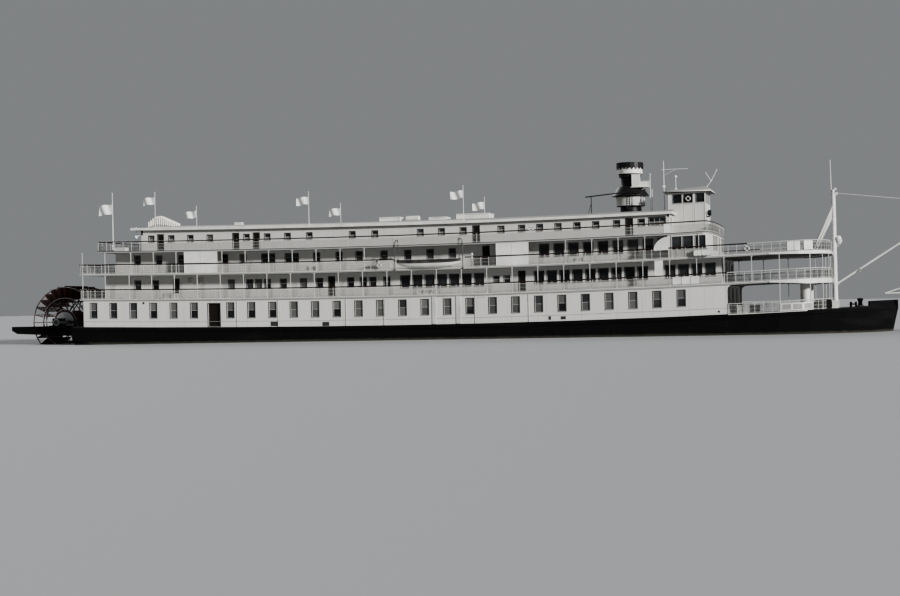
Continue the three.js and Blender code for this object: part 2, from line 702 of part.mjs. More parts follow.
const HEAD_2 = DECK_3 - SLAB - GAP;
const HEAD_3 = DECK_4 - SLAB - GAP;
sideRail("railing_2", GALLERY_AFT, FRONT_START - 4, DECK_2, HEAD_2, FRONT_START - 40, false);
sideRail("railing_3", GALLERY_AFT, FRONT_START - 4, DECK_3, HEAD_3, DECK_4_FRONT_START - 30, true);
sideRail("railing_4", DECK_4_AFT, DECK_4_FRONT_START - 4, DECK_4, null, 0, false);
const FRONT_COLUMNS = [25, 48, 66].map((degrees) => (degrees * Math.PI) / 180);
frontRail("railing_2_front", FRONT_START, FRONT_END, DECK_2, HEAD_2, FRONT_COLUMNS);
frontRail("railing_3_front", FRONT_START, FRONT_END, DECK_3, HEAD_3, []);
frontRail("railing_4_front", DECK_4_FRONT_START, DECK_4_FRONT_END, DECK_4, HEAD_3, []);
frontRail("foredeck_rail", FRONT_START, FRONT_END - 4, MAIN_DECK, MAIN_HEAD, FRONT_COLUMNS);

// Pilothouse: four wall panels with high windows all round, and a hipped roof with a visor
const PILOT_EAVE = 1493;
const PILOT_ROOF = 14;
const PILOT_ROOF_SEAT = 4.5;
const PILOT_WALL = 8;
const PILOT_OUTLINE = rectangle(PILOT_AFT, PILOT_FORE, DECK_4 + GAP, PILOT_EAVE - GAP);
const PILOT_OPENINGS = [[2007, "pilot"], [2107, "pilot"], [2220, "pilot"]];
sideWalls("pilothouse", PILOT_OUTLINE, PILOT_OPENINGS, DECK_4, PILOT_HALF, PILOT_WALL);
const INNER_PILOT = PILOT_HALF - PILOT_WALL - GAP;
const PILOT_ACROSS = [[-150, "front"], [-50, "front"], [50, "front"], [150, "front"]];
crossWall("pilothouse_aft", PILOT_AFT, PILOT_WALL, INNER_PILOT, DECK_4, PILOT_EAVE, PILOT_ACROSS);
crossWall("pilothouse_front", PILOT_FORE - PILOT_WALL, PILOT_WALL, INNER_PILOT, DECK_4, PILOT_EAVE,
  PILOT_ACROSS);

// Columns: station and rise of the crown; the last row is the tip of the visor
const PILOT_ROOF_ROWS = [
  [PILOT_AFT - 44, 2], [PILOT_AFT + 16, 10], [PILOT_FORE + 4, 36], [PILOT_FORE + 52, 0],
];

/** Pilothouse roof: low hipped top on a wide eave, highest over the forward wall. */
function pilotRoof() {
  const level = PILOT_EAVE + sheer(PILOT_AFT + 170);
  const half = PILOT_HALF + 42;
  const crown = half * 0.6;
  const seat = level + PILOT_ROOF_SEAT;
  const edge = level + PILOT_ROOF;
  return loft(PILOT_ROOF_ROWS.map(([x, rise]) => [
    [x, -half, seat], [x, half, seat], [x, half, edge], [x, crown, edge + 4 + rise],
    [x, -crown, edge + 4 + rise], [x, -half, edge],
  ]));
}
add("pilothouse_roof", pilotRoof(), "roof");

// Funnel: base, lower band, flared skirt, neck, upper band and crown.
// Columns: radius and height above the hull bottom
const FUNNEL_BASE = 96;
const FUNNEL_FOOT = EAVE + ROOF_EDGE + ROOF_CAMBER + sheer(FUNNEL_X + FUNNEL_BASE) + GAP;
const FUNNEL_RINGS = [
  [0, FUNNEL_FOOT], [FUNNEL_BASE, FUNNEL_FOOT], [FUNNEL_BASE, 1425], [135, 1425], [135, 1515],
  [122, 1520], [175, 1524], [118, 1610], [85, 1622], [85, 1728], [115, 1730], [115, 1795], [122, 1797],
  [122, 1840], [104, 1840], [104, 1700], [0, 1700],
];
const funnel = new THREE.LatheGeometry(FUNNEL_RINGS.map(([r, z]) => new THREE.Vector2(r, z)), 24);
funnel.rotateX(Math.PI / 2);
funnel.translate(FUNNEL_X, 0, 0);
add("funnel", funnel, "funnel_black");

// Derrick masts with their slanted legs, and the gooseneck pins on the starboard one
const MAST_TOP = 1495;
const MAST_LEG_TOP = 1350;
const MAST_LEG_X = 3215;
const SWING_X = MAST_X + 32;
const BOOM_HEEL_Z = 664;
const LIFT_Z = 1462;
const PIN_RADIUS = 4;

for (const [side, sign] of [["starboard", -1], ["port", 1]]) {
  const y = sign * MAST_Y;
  const foot = MAIN_DECK + sheer(MAST_X + 18) + GAP;
  const legFoot = DECK_3 + sheer(MAST_LEG_X + 20) + GAP + 1;
  const pieces = [
    bar([MAST_X, y, foot], [MAST_X, y, MAST_TOP], 17, 12, 12),
    plateXZ([
      [MAST_X - 4, MAST_LEG_TOP + 12], [MAST_LEG_X - 12, legFoot], [MAST_LEG_X + 12, legFoot],
      [MAST_X, MAST_LEG_TOP - 44],
    ].map(([x, z]) => new THREE.Vector2(x, z)), [], y - 9, 18),
    block(MAST_X - 26, MAST_X + 26, y - 26, y + 26, foot, foot + 66),
  ];
  if (sign < 0) {
    pieces.push(bar([MAST_X - 14, y, MAST_TOP - 120], [MAST_X - 20, y, 1762], 4, 8, 2.5));
    for (const level of [BOOM_HEEL_Z, LIFT_Z]) {
      pieces.push(block(MAST_X, SWING_X + 8, y - 9, y + 9, level - 16, level - 9));
      pieces.push(bar([SWING_X, y, level - 12], [SWING_X, y, level + 9], PIN_RADIUS, 12));
    }
  }
  add(`mast_${side}`, joined(pieces), "white_rail");
}

// Stage boom: a spar on the gooseneck with its topping lift, from the mast to the boom's tip
const BOOM_ANGLE = (32.4 * Math.PI) / 180;
const BOOM_LENGTH = 1240;
const TIP_X = Math.round(SWING_X + BOOM_LENGTH * Math.cos(BOOM_ANGLE));
const TIP_Z = Math.round(BOOM_HEEL_Z + BOOM_LENGTH * Math.sin(BOOM_ANGLE));
const BOOM_Y = -MAST_Y;

/** Eye block round a gooseneck pin. */
function eyeBlock(z) {
  return block(SWING_X - 9, SWING_X + 9, BOOM_Y - 9, BOOM_Y + 9, z - 8, z + 6);
}

/** Cutter that leaves a running gap round a gooseneck pin. */
function eyeBore(z) {
  return bar([SWING_X, BOOM_Y, z - 12], [SWING_X, BOOM_Y, z + 14], PIN_RADIUS + PIN_CLEAR, 12);
}

add("stage_boom", joined([
  bar([SWING_X + 6, BOOM_Y, BOOM_HEEL_Z + 2], [TIP_X, BOOM_Y, TIP_Z], 9, 10, 7),
  bar([SWING_X + 6, BOOM_Y, LIFT_Z - 1], [TIP_X - 4, BOOM_Y, TIP_Z + 4], 2, 6),
  bar([TIP_X, BOOM_Y - 16, TIP_Z], [TIP_X, BOOM_Y + 16, TIP_Z], PIN_RADIUS, 12),
  eyeBlock(BOOM_HEEL_Z), eyeBlock(LIFT_Z),
], [eyeBore(BOOM_HEEL_Z), eyeBore(LIFT_Z)]), "white_rail");

// Landing stage: a gangway with truss sides, hung by its bridle from the boom's tip
const STAGE_LENGTH = 1300;
const STAGE_HALF = 62;
const STAGE_Z = 556;
const STAGE_TRUSS = 58;
const STAGE_TAPER = 150;
const STAGE_PANELS = 9;

/** Flat strip in an X-Z plane from one point to another. */
function strip(from, to, width, y, thickness) {
  const way = new THREE.Vector2(to[0] - from[0], to[1] - from[1]).normalize();
  const off = new THREE.Vector2(-way.y, way.x).multiplyScalar(width / 2);
  const corners = [[from, 1], [from, -1], [to, -1], [to, 1]]
    .map(([[x, z], sign]) => new THREE.Vector2(x + sign * off.x, z + sign * off.y));
  return plateXZ(corners, [], y, thickness);
}

/** Truss side of the landing stage: two chords, sloping ends and its diagonals. */
function stageSide(y) {
  const aft = TIP_X - STAGE_LENGTH / 2;
  const fore = TIP_X + STAGE_LENGTH / 2;
  const low = STAGE_Z + 5;
  const high = STAGE_Z + STAGE_TRUSS - 5;
  const bay = (STAGE_LENGTH - 2 * STAGE_TAPER) / STAGE_PANELS;
  const strips = [
    strip([aft, low], [fore, low], 9, y, 5),
    strip([aft + STAGE_TAPER - 4, high], [fore - STAGE_TAPER + 4, high], 9, y, 5),
    strip([aft + 4, low], [aft + STAGE_TAPER, high], 8, y, 5),
    strip([fore - 4, low], [fore - STAGE_TAPER, high], 8, y, 5),
  ];
  for (let i = 0; i < STAGE_PANELS; i++) {
    const x = aft + STAGE_TAPER + i * bay;
    const [from, to] = i % 2 === 0 ? [high, low] : [low, high];
    strips.push(strip([x, from], [x + bay, to], 6, y, 5));
  }
  return strips;
}

/** One bridle leg from the head plate to the top of a truss. */
function bridleLeg(x, y) {
  const head = [TIP_X, BOOM_Y + Math.sign(y) * 9, TIP_Z - 23];
  return bar(head, [TIP_X + x, BOOM_Y + y, STAGE_Z + STAGE_TRUSS - 3], 1.8, 6);
}

const STAGE_SPREAD = STAGE_LENGTH / 2 - STAGE_TAPER - 10;
const legs = [];
for (const x of [-STAGE_SPREAD, STAGE_SPREAD]) {
  for (const y of [-STAGE_HALF + 3, STAGE_HALF - 3]) legs.push(bridleLeg(x, y));
}
const headBore = bar([TIP_X, BOOM_Y - 20, TIP_Z], [TIP_X, BOOM_Y + 20, TIP_Z], PIN_RADIUS + PIN_CLEAR, 12);
const [STAGE_AFT, STAGE_FORE] = [TIP_X - STAGE_LENGTH / 2, TIP_X + STAGE_LENGTH / 2];
add("landing_stage", joined([
  block(STAGE_AFT, STAGE_FORE, BOOM_Y - STAGE_HALF, BOOM_Y + STAGE_HALF, STAGE_Z, STAGE_Z + 8),
  ...stageSide(BOOM_Y - STAGE_HALF), ...stageSide(BOOM_Y + STAGE_HALF - 5),
  block(TIP_X - 9, TIP_X + 9, BOOM_Y + 9, BOOM_Y + 13, TIP_Z - 24, TIP_Z + 9),
  block(TIP_X - 9, TIP_X + 9, BOOM_Y - 13, BOOM_Y - 9, TIP_Z - 24, TIP_Z + 9),
  block(TIP_X - 9, TIP_X + 9, BOOM_Y - 13, BOOM_Y + 13, TIP_Z - 27, TIP_Z - 21),
  ...legs,
], [headBore]), "white_rail");

// Paddle wheel: a shaft with cranks, two outer frames, and the bucket boards on a middle frame
const ARMS = 28;
const FRAME_Y = 250;
const FRAME_THICK = 8;
const RINGS = { hub: 118, middleIn: 240, middleOut: 250, rimIn: 350, rimOut: 360 };
const ARM_WIDTH = 7;
const BUCKET_TIP = 370;
const BUCKET_ROOT = 256;
const CRANK_RADIUS = 150;
const CRANK_Y = 415;
const PITMAN_PIN = 8;

/** Point of the wheel plane at a radius and an angle. */
function wheelPoint(radius, angle) {
  return new THREE.Vector2(WHEEL_X + radius * Math.cos(angle), WHEEL_Z + radius * Math.sin(angle));
}

/** Flat wheel frame: hub disc, two rings and its arms, as a plate with openings. */
function wheelFrame(y, arms, hubRadius) {
  const step = (2 * Math.PI) / arms;
  const rim = Array.from({ length: arms }, (_, i) => wheelPoint(RINGS.rimOut, (i + 0.5) * step));
  const holes = [];
  const bands = [[RINGS.hub, RINGS.middleIn, ARMS / 2], [RINGS.middleOut, RINGS.rimIn, arms]];
  for (const [inner, outer, count] of bands) {
    const sector = (2 * Math.PI) / count;
    for (let i = 0; i < count; i++) {
      const from = (radius) => i * sector + ARM_WIDTH / 2 / radius;
      const to = (radius) => (i + 1) * sector - ARM_WIDTH / 2 / radius;
      holes.push([wheelPoint(inner, from(inner)), wheelPoint(outer, from(outer)),
        wheelPoint(outer, to(outer)), wheelPoint(inner, to(inner))]);
    }
  }
  holes.push(Array.from({ length: 16 }, (_, i) => wheelPoint(hubRadius, (i * Math.PI) / 8)));
  return plateXZ(rim, holes, y - FRAME_THICK / 2, FRAME_THICK);
}

/** One bucket board: a flat plank that stands on the ring, across the wheel. */
function bucketBoard(angle) {
  const reach = FRAME_Y - FRAME_THICK / 2 - GAP;
  const board = block(BUCKET_ROOT, BUCKET_TIP, -reach, reach, -2.5, 2.5);
  board.rotateY(-angle);
  board.translate(WHEEL_X, 0, WHEEL_Z);
  return board;
}

const step = (2 * Math.PI) / ARMS;
const boards = Array.from({ length: ARMS }, (_, i) => bucketBoard(i * step));
add("paddle_buckets", joined([wheelFrame(0, ARMS / 2, SHAFT_RADIUS + PIN_CLEAR), ...boards]), "wheel_red");
add("wheel_frame_starboard", wheelFrame(-FRAME_Y, ARMS, SHAFT_RADIUS + PIN_CLEAR), "wheel_red");
add("wheel_frame_port", wheelFrame(FRAME_Y, ARMS, SHAFT_RADIUS + PIN_CLEAR), "wheel_red");

/** Crank web, boss and pin at one end of the paddle shaft. */
function crank(sign) {
  const inner = sign * CRANK_Y;
  const outer = sign * (CRANK_Y + 14);
  const pinEnd = sign * (CRANK_Y + 44);
  const [low, high] = sign < 0 ? [outer, inner] : [inner, outer];
  const pinX = WHEEL_X + CRANK_RADIUS;
  return [
    bar([WHEEL_X, inner, WHEEL_Z], [WHEEL_X, outer + sign, WHEEL_Z], 35, 16),
    block(WHEEL_X, pinX, low, high, WHEEL_Z - 15, WHEEL_Z + 15),
    bar([pinX, inner, WHEEL_Z], [pinX, outer, WHEEL_Z], 20, 12),
    bar([pinX, inner, WHEEL_Z], [pinX, pinEnd, WHEEL_Z], PITMAN_PIN, 12),
  ];
}
add("paddle_shaft", joined([
  bar([WHEEL_X, -CRANK_Y - 2, WHEEL_Z], [WHEEL_X, CRANK_Y + 2, WHEEL_Z], SHAFT_RADIUS, 16),
  ...crank(-1), ...crank(1),
]), "iron");

// Pitmans: connecting rods from the crank pins towards the cylinders
const PITMAN_FORE = -3845;
const PITMAN_EYE = 20;

/** Side outline of a pitman and the bore of its eye. */
function pitmanShape() {
  const pinX = WHEEL_X + CRANK_RADIUS;
  const round = (radius, angle) => [pinX + radius * Math.cos(angle), WHEEL_Z + radius * Math.sin(angle)];
  const outline = Array.from({ length: 9 }, (_, i) => round(PITMAN_EYE, Math.PI / 2 + (i * Math.PI) / 8));
  outline.push([pinX + PITMAN_EYE, WHEEL_Z - 15], [PITMAN_FORE, WHEEL_Z - 11],
    [PITMAN_FORE, WHEEL_Z + 11], [pinX + PITMAN_EYE, WHEEL_Z + 15]);
  const bore = Array.from({ length: 12 }, (_, i) => round(PITMAN_PIN + PIN_CLEAR, (i * Math.PI) / 6));
  return [outline, bore].map((ring) => ring.map(([x, z]) => new THREE.Vector2(x, z)));
}

const [pitmanOutline, pitmanBore] = pitmanShape();
for (const [side, y] of [["starboard", -(CRANK_Y + 40)], ["port", CRANK_Y + 20]]) {
  add(`pitman_${side}`, plateXZ(pitmanOutline, [pitmanBore], y, 20), "dark_wood");
}

// Rudders under the stern rake
const RUDDER_X = -3640;
const RUDDER_FOOT = 15;
const RUDDER_TOP = 116;
const STOCK_TOP = 170.9;
for (const [place, y] of [["centre", 0], ["starboard", -240], ["port", 240]]) {
  add(`rudder_${place}`, joined([
    block(-3785, -3565, y - 5, y + 5, RUDDER_FOOT, RUDDER_TOP),
    bar([RUDDER_X, y, RUDDER_FOOT], [RUDDER_X, y, STOCK_TOP], 9, 12),
  ]), "black_hull");
}

// Sliding cargo doors inside the main deck walls
const DOOR_HALF = 68;
for (const [side, sign] of [["starboard", -1], ["port", 1]]) {
  const y = sign < 0 ? -(HOUSE_HALF - HOUSE_WALL - 6) : HOUSE_HALF - HOUSE_WALL - 12;
  const [aft, fore] = [CARGO_DOOR_X - DOOR_HALF, CARGO_DOOR_X + DOOR_HALF];
  const outline = rectangle(aft, fore, MAIN_DECK + GAP, MAIN_DECK + 236);
  add(`cargo_door_${side}`, plateXZ(bent(outline), [], y, 6), "dark_wood");
}

// Lifeboats at the edge of deck 3, hung in their davits
const BOAT_Y = 884;
const BOAT_HALF = 62;
const DAVIT_Y = 889;

// Columns: share of the length, share of the half width, rise of the keel
const BOAT_ROWS = [
  [0, 0.06, 34], [0.08, 0.42, 12], [0.22, 0.8, 3], [0.5, 1, 0], [0.78, 0.8, 3], [0.92, 0.42, 14],
  [1, 0.06, 38],
];

/** Lifeboat hull: pointed at both ends, with a covered top. */
function boatHull(y) {
  const keel = DECK_3 + sheer(BOAT_AFT) + 14;
  return loft(BOAT_ROWS.map(([share, width, rise]) => {
    const x = BOAT_AFT + 8 + share * (BOAT_FORE - BOAT_AFT - 16);
    const half = BOAT_HALF * width;
    const bilge = keel + 24 + 0.6 * rise;
    const gunwale = keel + 66 + 0.35 * rise;
    const cover = gunwale + 10 * width + 2;
    return [[x, y - half * 0.3, keel + rise], [x, y + half * 0.3, keel + rise], [x, y + half * 0.85, bilge],
      [x, y + half, gunwale], [x, y + half * 0.5, cover], [x, y - half * 0.5, cover],
      [x, y - half, gunwale], [x, y - half * 0.85, bilge]];
  }));
}

/** Davit: a post on the deck edge with a bent arm over the boat's end, and the fall. */
function davit(x, boatX, sign) {
  const foot = DECK_3 + sheer(x) - 14;
  const top = DECK_4 + 34;
  const y = sign * DAVIT_Y;
  return [
    bar([x, y, foot], [x, y, top], 4.4, 8),
    bar([x, y, top - 4], [boatX, sign * (BOAT_Y + 8), top + 14], 4, 8),
    bar([boatX, sign * (BOAT_Y + 8), top + 16], [boatX, sign * (BOAT_Y + 2), DECK_3 + sheer(x) + 70], 1.8, 6),
  ];
}

for (const [side, sign] of [["starboard", -1], ["port", 1]]) {
  add(`lifeboat_${side}`, joined([
    boatHull(sign * (BOAT_Y + 4)),
    ...davit(BOAT_AFT - 8, BOAT_AFT + 24, sign),
    ...davit(BOAT_FORE + 8, BOAT_FORE - 24, sign),
  ]), "white_rail");
}

// Boilers under the funnel, closed in by the house
const BOILERS_AFT = 1240;
const BOILERS_FORE = 1840;
const BOILERS_HALF = 190;
const BOILERS_LEVEL = MAIN_DECK + sheer(BOILERS_FORE);
add("boilers", block(BOILERS_AFT, BOILERS_FORE, -BOILERS_HALF, BOILERS_HALF, BOILERS_LEVEL + GAP,
  BOILERS_LEVEL + 215), "iron");

// Flagpoles in a row on each side of the texas roof, on one kerb strip, with their flags
const FLAG_Y = 498;
const FLAG_POLES = [-3110, -1510, 20];
const KERB_FORE = 60;
const FLAG_TOP = 1648;
const FLAG_LENGTH = 132;
const FLAG_DROP = 84;
const HALYARD_END = 8;

/** Kerb strip with three poles and their flags. */
function flagLine(sign) {
  const y = sign * FLAG_Y;
  const seat = EAVE + roofLevel(FLAG_Y - 3) + GAP;
  const kerb = rectangle(FLAG_POLES[0] - 12, KERB_FORE, seat, seat + 6);
  const pieces = [plateXZ(bent(kerb), [], y - 3, 6)];
  for (const x of FLAG_POLES) {
    const lift = sheer(x);
    const foot = x < CROWN_AFT ? EAVE + ROOF_EDGE + GAP : seat + 1;
    const head = FLAG_TOP + lift;
    const top = head - HALYARD_END;
    pieces.push(bar([x, y, foot + lift], [x, y, head], 3, 8, 2));
    pieces.push(block(x - FLAG_LENGTH, x, y - 1.5, y + 1.5, top - FLAG_DROP, top));
  }
  return joined(pieces);
}
add("flag_line_starboard", flagLine(-1), "flag_cloth");
add("flag_line_port", flagLine(1), "flag_cloth");

// Stern flagstaff on deck 4
const STAFF_X = -3505;
const STAFF_Y = -600;
const STAFF_LIFT = sheer(STAFF_X - 8);
const STAFF_TOP = 1680 + STAFF_LIFT;
const STERN_FLAG_LENGTH = 150;
add("stern_staff", joined([
  bar([STAFF_X, STAFF_Y, DECK_4 + GAP + STAFF_LIFT], [STAFF_X, STAFF_Y, STAFF_TOP], 5, 8, 2.5),
  block(STAFF_X - STERN_FLAG_LENGTH, STAFF_X, STAFF_Y - 1.5, STAFF_Y + 1.5, STAFF_TOP - 205, STAFF_TOP - 110),
]), "flag_cloth");

export default model;
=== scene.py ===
"""A four-deck stern-wheel river steamer at 1:10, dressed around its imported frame.

Sizes are in metres of the model. +X points to the bow, +Z up, and starboard is -Y.
Heights are given at the lowest point of the sheer, which is then added by station.
"""
import json
import logging
import math
import random
from dataclasses import dataclass
from enum import Enum
from typing import Callable, Iterable, Sequence

import bpy
import numpy as np
from mathutils import Matrix, Vector

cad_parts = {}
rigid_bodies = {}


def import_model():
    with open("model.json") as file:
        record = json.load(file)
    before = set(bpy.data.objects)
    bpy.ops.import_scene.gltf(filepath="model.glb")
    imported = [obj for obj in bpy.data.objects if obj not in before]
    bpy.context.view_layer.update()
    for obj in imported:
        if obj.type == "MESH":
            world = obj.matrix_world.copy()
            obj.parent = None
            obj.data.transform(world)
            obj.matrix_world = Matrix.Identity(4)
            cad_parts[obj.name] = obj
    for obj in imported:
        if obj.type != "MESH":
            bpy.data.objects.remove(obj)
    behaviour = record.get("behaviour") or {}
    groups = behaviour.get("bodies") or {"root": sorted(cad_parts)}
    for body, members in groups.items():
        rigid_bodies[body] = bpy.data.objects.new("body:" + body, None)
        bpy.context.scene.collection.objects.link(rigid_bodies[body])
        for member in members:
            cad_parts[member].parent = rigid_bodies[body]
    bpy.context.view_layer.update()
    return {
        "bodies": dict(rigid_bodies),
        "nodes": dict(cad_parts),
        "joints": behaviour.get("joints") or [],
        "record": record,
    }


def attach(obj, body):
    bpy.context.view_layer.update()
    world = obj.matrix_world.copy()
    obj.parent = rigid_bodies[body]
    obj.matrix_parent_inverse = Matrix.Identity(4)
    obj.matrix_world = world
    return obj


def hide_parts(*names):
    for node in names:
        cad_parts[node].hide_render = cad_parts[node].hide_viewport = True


LOG = logging.getLogger("steamer")
Point = tuple[float, float, float]
Colour = tuple[float, float, float]
Piece = bpy.types.Object

MAIN_DECK = 0.360
DECK_2 = 0.634
DECK_3 = 0.877
DECK_4 = 1.098
SLAB = 0.018
EAVE = 1.272
RAIL_HEIGHT = 0.092
HALF_BEAM = 0.884
RAIL_PLANE = 0.8795
HOUSE_HALF = 0.874
CABIN_HALF = 0.724
TEXAS_HALF = 0.500
PILOT_HALF = 0.220
WATERLINE = 0.220
GALLERY_AFT = -3.730
FRONT_START = 3.020
FRONT_END = 3.385
DECK_4_AFT = -3.530
DECK_4_START = 2.300
DECK_4_END = 2.375
TEXAS_AFT = -3.250
TEXAS_FORE = 1.965
PILOT_EAVE = 1.493
PILOT_MIDDLE = 2.096
RAIL_INSET = HALF_BEAM - RAIL_PLANE
COLUMN_PITCH = 0.2366

SHEER_LOW = -0.480
SHEER_RUN = 0.800
SHEER_FORE = 5.0e-3
SHEER_AFT = 3.3e-3
FRONT_POWER = 2 / 2.6
FRONT_DEGREES = (10, 18, 26, 34, 42, 51, 60, 69, 78)


def sheer(x: float) -> float:
    """Height that the sheer adds at a station, straight between its knots."""
    place = (x - SHEER_LOW) / SHEER_RUN
    low = math.floor(place)
    rise = [(SHEER_FORE if k >= 0 else SHEER_AFT) * (k * SHEER_RUN) ** 2 for k in (low, low + 1)]
    return rise[0] + (place - low) * (rise[1] - rise[0])


def sheers(stations: Iterable[float]) -> np.ndarray:
    """Heights that the sheer adds at many stations."""
    return np.array([sheer(x) for x in stations])


def spot(place: Point, angle: float = 0.0, axis: str = "Z") -> Matrix:
    """Turn about an axis, followed by a move to a place."""
    return Matrix.Translation(place) @ Matrix.Rotation(angle, 4, axis)


def eave(x: float | np.ndarray) -> float | np.ndarray:
    """Height of the upper roof's edge at a station, without the sheer."""
    return EAVE + 0.030 - 0.0045 * x


def knots(aft: float, fore: float) -> list[float]:
    """Sheer knots strictly between two stations."""
    every = [SHEER_LOW + k * SHEER_RUN for k in range(-5, 8)]
    return [x for x in every if aft + 0.002 < x < fore - 0.002]


def pitched(first: float, pitch: float, count: int) -> list[float]:
    """Places at an even pitch."""
    return [first + i * pitch for i in range(count)]


class Assembly:
    """Base of every sub-assembly: primitives, edit-mode shaping and applied modifiers."""

    def pick(self, *pieces: Piece) -> Piece:
        """Selects only these pieces and makes the first one active."""
        bpy.ops.object.select_all(action="DESELECT")
        for piece in pieces:
            piece.select_set(True)
        bpy.context.view_layer.objects.active = pieces[0]
        return pieces[0]

    def settle(self, piece: Piece) -> Piece:
        """Puts the piece's place, turn and scale into its mesh."""
        self.pick(piece)
        bpy.ops.object.transform_apply(location=True, rotation=True, scale=True)
        return piece

    def edit(self, piece: Piece, work: Callable[[], None]) -> Piece:
        """Runs edit-mode work on the whole piece."""
        self.pick(piece)
        bpy.ops.object.mode_set(mode="EDIT")
        bpy.ops.mesh.select_all(action="SELECT")
        work()
        bpy.ops.object.mode_set(mode="OBJECT")
        return piece

    def modify(self, piece: Piece, kind: str, **settings: object) -> Piece:
        """Adds a modifier, sets it and applies it."""
        self.pick(piece)
        modifier = piece.modifiers.new(kind.lower(), kind)
        for name, value in settings.items():
            setattr(modifier, name, value)
        bpy.ops.object.modifier_apply(modifier=modifier.name)
        return piece

    def saw(self, place: Point, normal: Point, **settings: bool) -> None:
        """Cuts the whole piece in edit mode along a plane."""
        bpy.ops.mesh.select_all(action="SELECT")
        bpy.ops.mesh.bisect(plane_co=place, plane_no=normal, **settings)

    def face_outwards(self) -> None:
        """Turns all normals of the piece in edit mode outwards."""
        bpy.ops.mesh.select_all(action="SELECT")
        bpy.ops.mesh.normals_make_consistent(inside=False)

    def bevel(self, piece: Piece, width: float, segments: int = 1) -> Piece:
        """Breaks the sharp edges."""
        return self.modify(piece, "BEVEL", width=width, segments=segments, limit_method="ANGLE")

    def box(self, low: Point, high: Point, bevel: float = 0.0) -> Piece:
        """Box between two corners, with its edges broken."""
        centre = [(a + b) / 2 for a, b in zip(low, high)]
        size = [b - a for a, b in zip(low, high)]
        bpy.ops.mesh.primitive_cube_add(size=1, location=centre, scale=size)
        piece = self.settle(bpy.context.object)
        return self.bevel(piece, bevel) if bevel else piece

    def block(self, x: float, y: float, dx: float, dy: float, low: float, high: float,
              bevel: float = 0.0) -> Piece:
        """Box about an upright line, dx and dy to each side of it."""
        return self.box((x - dx, y - dy, low), (x + dx, y + dy, high), bevel)

    def bar(self, start: Point, end: Point, radius: float, tip: float | None = None, sides: int = 8) -> Piece:
        """Round bar between two points, tapered to its tip."""
        a, b = Vector(start), Vector(end)
        bpy.ops.mesh.primitive_cone_add(
            vertices=sides, radius1=radius, radius2=radius if tip is None else tip,
            depth=(b - a).length, location=(a + b) / 2, rotation=(b - a).to_track_quat("Z", "Y").to_euler())
        return self.settle(bpy.context.object)

    def post(self, x: float, y: float, low: float, high: float, radius: float, tip: float | None = None,
             sides: int = 8) -> Piece:
        """Upright round bar between two heights."""
        return self.bar((x, y, low), (x, y, high), radius, tip, sides)

    def ball(self, centre: Point, radius: float, stretch: Point = (1, 1, 1)) -> Piece:
        """Small ball, stretched along the axes."""
        bpy.ops.mesh.primitive_uv_sphere_add(segments=14, ring_count=9, radius=radius, location=centre)
        bpy.context.object.scale = stretch
        return self.smooth(self.settle(bpy.context.object))

    def hoop(self, centre: Point, radius: float, thick: float, turn: Point = (math.pi / 2, 0, 0),
             steps: int = 20, sides: int = 8) -> Piece:
        """Round ring, upright and facing sideways unless it is turned."""
        bpy.ops.mesh.primitive_torus_add(
            location=centre, rotation=turn, major_radius=radius, minor_radius=thick,
            major_segments=steps, minor_segments=sides)
        return self.smooth(self.settle(bpy.context.object))

    def tube(self, points: Sequence[Point], radius: float, closed: bool = False, fine: int = 1) -> Piece:
        """Round run through points, with closed ends."""
        curve = bpy.data.curves.new("run", "CURVE")
        curve.dimensions = "3D"
        spline = curve.splines.new("POLY")
        spline.points.add(len(points) - 1)
        for knot, place in zip(spline.points, points):
            knot.co = (*place, 1)
        spline.use_cyclic_u = closed
        curve.bevel_depth = radius
        curve.bevel_resolution = fine
        curve.use_fill_caps = not closed
        piece = bpy.data.objects.new("run", curve)
        bpy.context.scene.collection.objects.link(piece)
        self.pick(piece)
        bpy.ops.object.convert(target="MESH")
        return bpy.context.object

    def outline(self, points: Sequence[tuple[float, float]], filled: bool = True) -> Piece:
        """Flat face, or a bare loop, through points of the X-Y plane."""
        fill = "NGON" if filled else "NOTHING"
        bpy.ops.mesh.primitive_circle_add(vertices=len(points), radius=1, fill_type=fill)
        piece = bpy.context.object
        for vertex, (u, v) in zip(piece.data.vertices, points):
            vertex.co = (u, v, 0)
        return piece

    def plate(self, points: Sequence[tuple[float, float]], y: float, thickness: float) -> Piece:
        """Upright plate along the ship, from an outline of X and Z, between y and y + thickness."""
        piece = self.outline(points)
        self.edit(piece, lambda: (
            bpy.ops.mesh.extrude_region_move(TRANSFORM_OT_translate={"value": (0, 0, -thickness)}),
            self.face_outwards()))
        piece.rotation_euler = (math.pi / 2, 0, 0)
        piece.location = (0, y, 0)
        return self.settle(piece)

    def lathe(self, profile: Sequence[tuple[float, float]], centre: Point, steps: int = 32) -> Piece:
        """Turned body from a closed profile of radius and height."""
        piece = self.outline([(r, 0) for r, _ in profile], filled=False)
        for vertex, (r, z) in zip(piece.data.vertices, profile):
            vertex.co = (r, 0, z)
        self.edit(piece, lambda: (
            bpy.ops.mesh.spin(steps=steps, angle=2 * math.pi, center=(0, 0, 0), axis=(0, 0, 1)),
            bpy.ops.mesh.select_all(action="SELECT"),
            bpy.ops.mesh.remove_doubles(threshold=1e-5),
            bpy.ops.mesh.dissolve_degenerate(threshold=1e-6),
            self.face_outwards()))
        piece.location = centre
        return self.smooth(self.settle(piece))

    def cut_at(self, piece: Piece, stations: Iterable[float]) -> Piece:
        """Adds a loop across the piece at each station along X."""
        def work() -> None:
            """Bisects at every station."""
            for station in stations:
                self.saw((station, 0, 0), (1, 0, 0))
        return self.edit(piece, work)

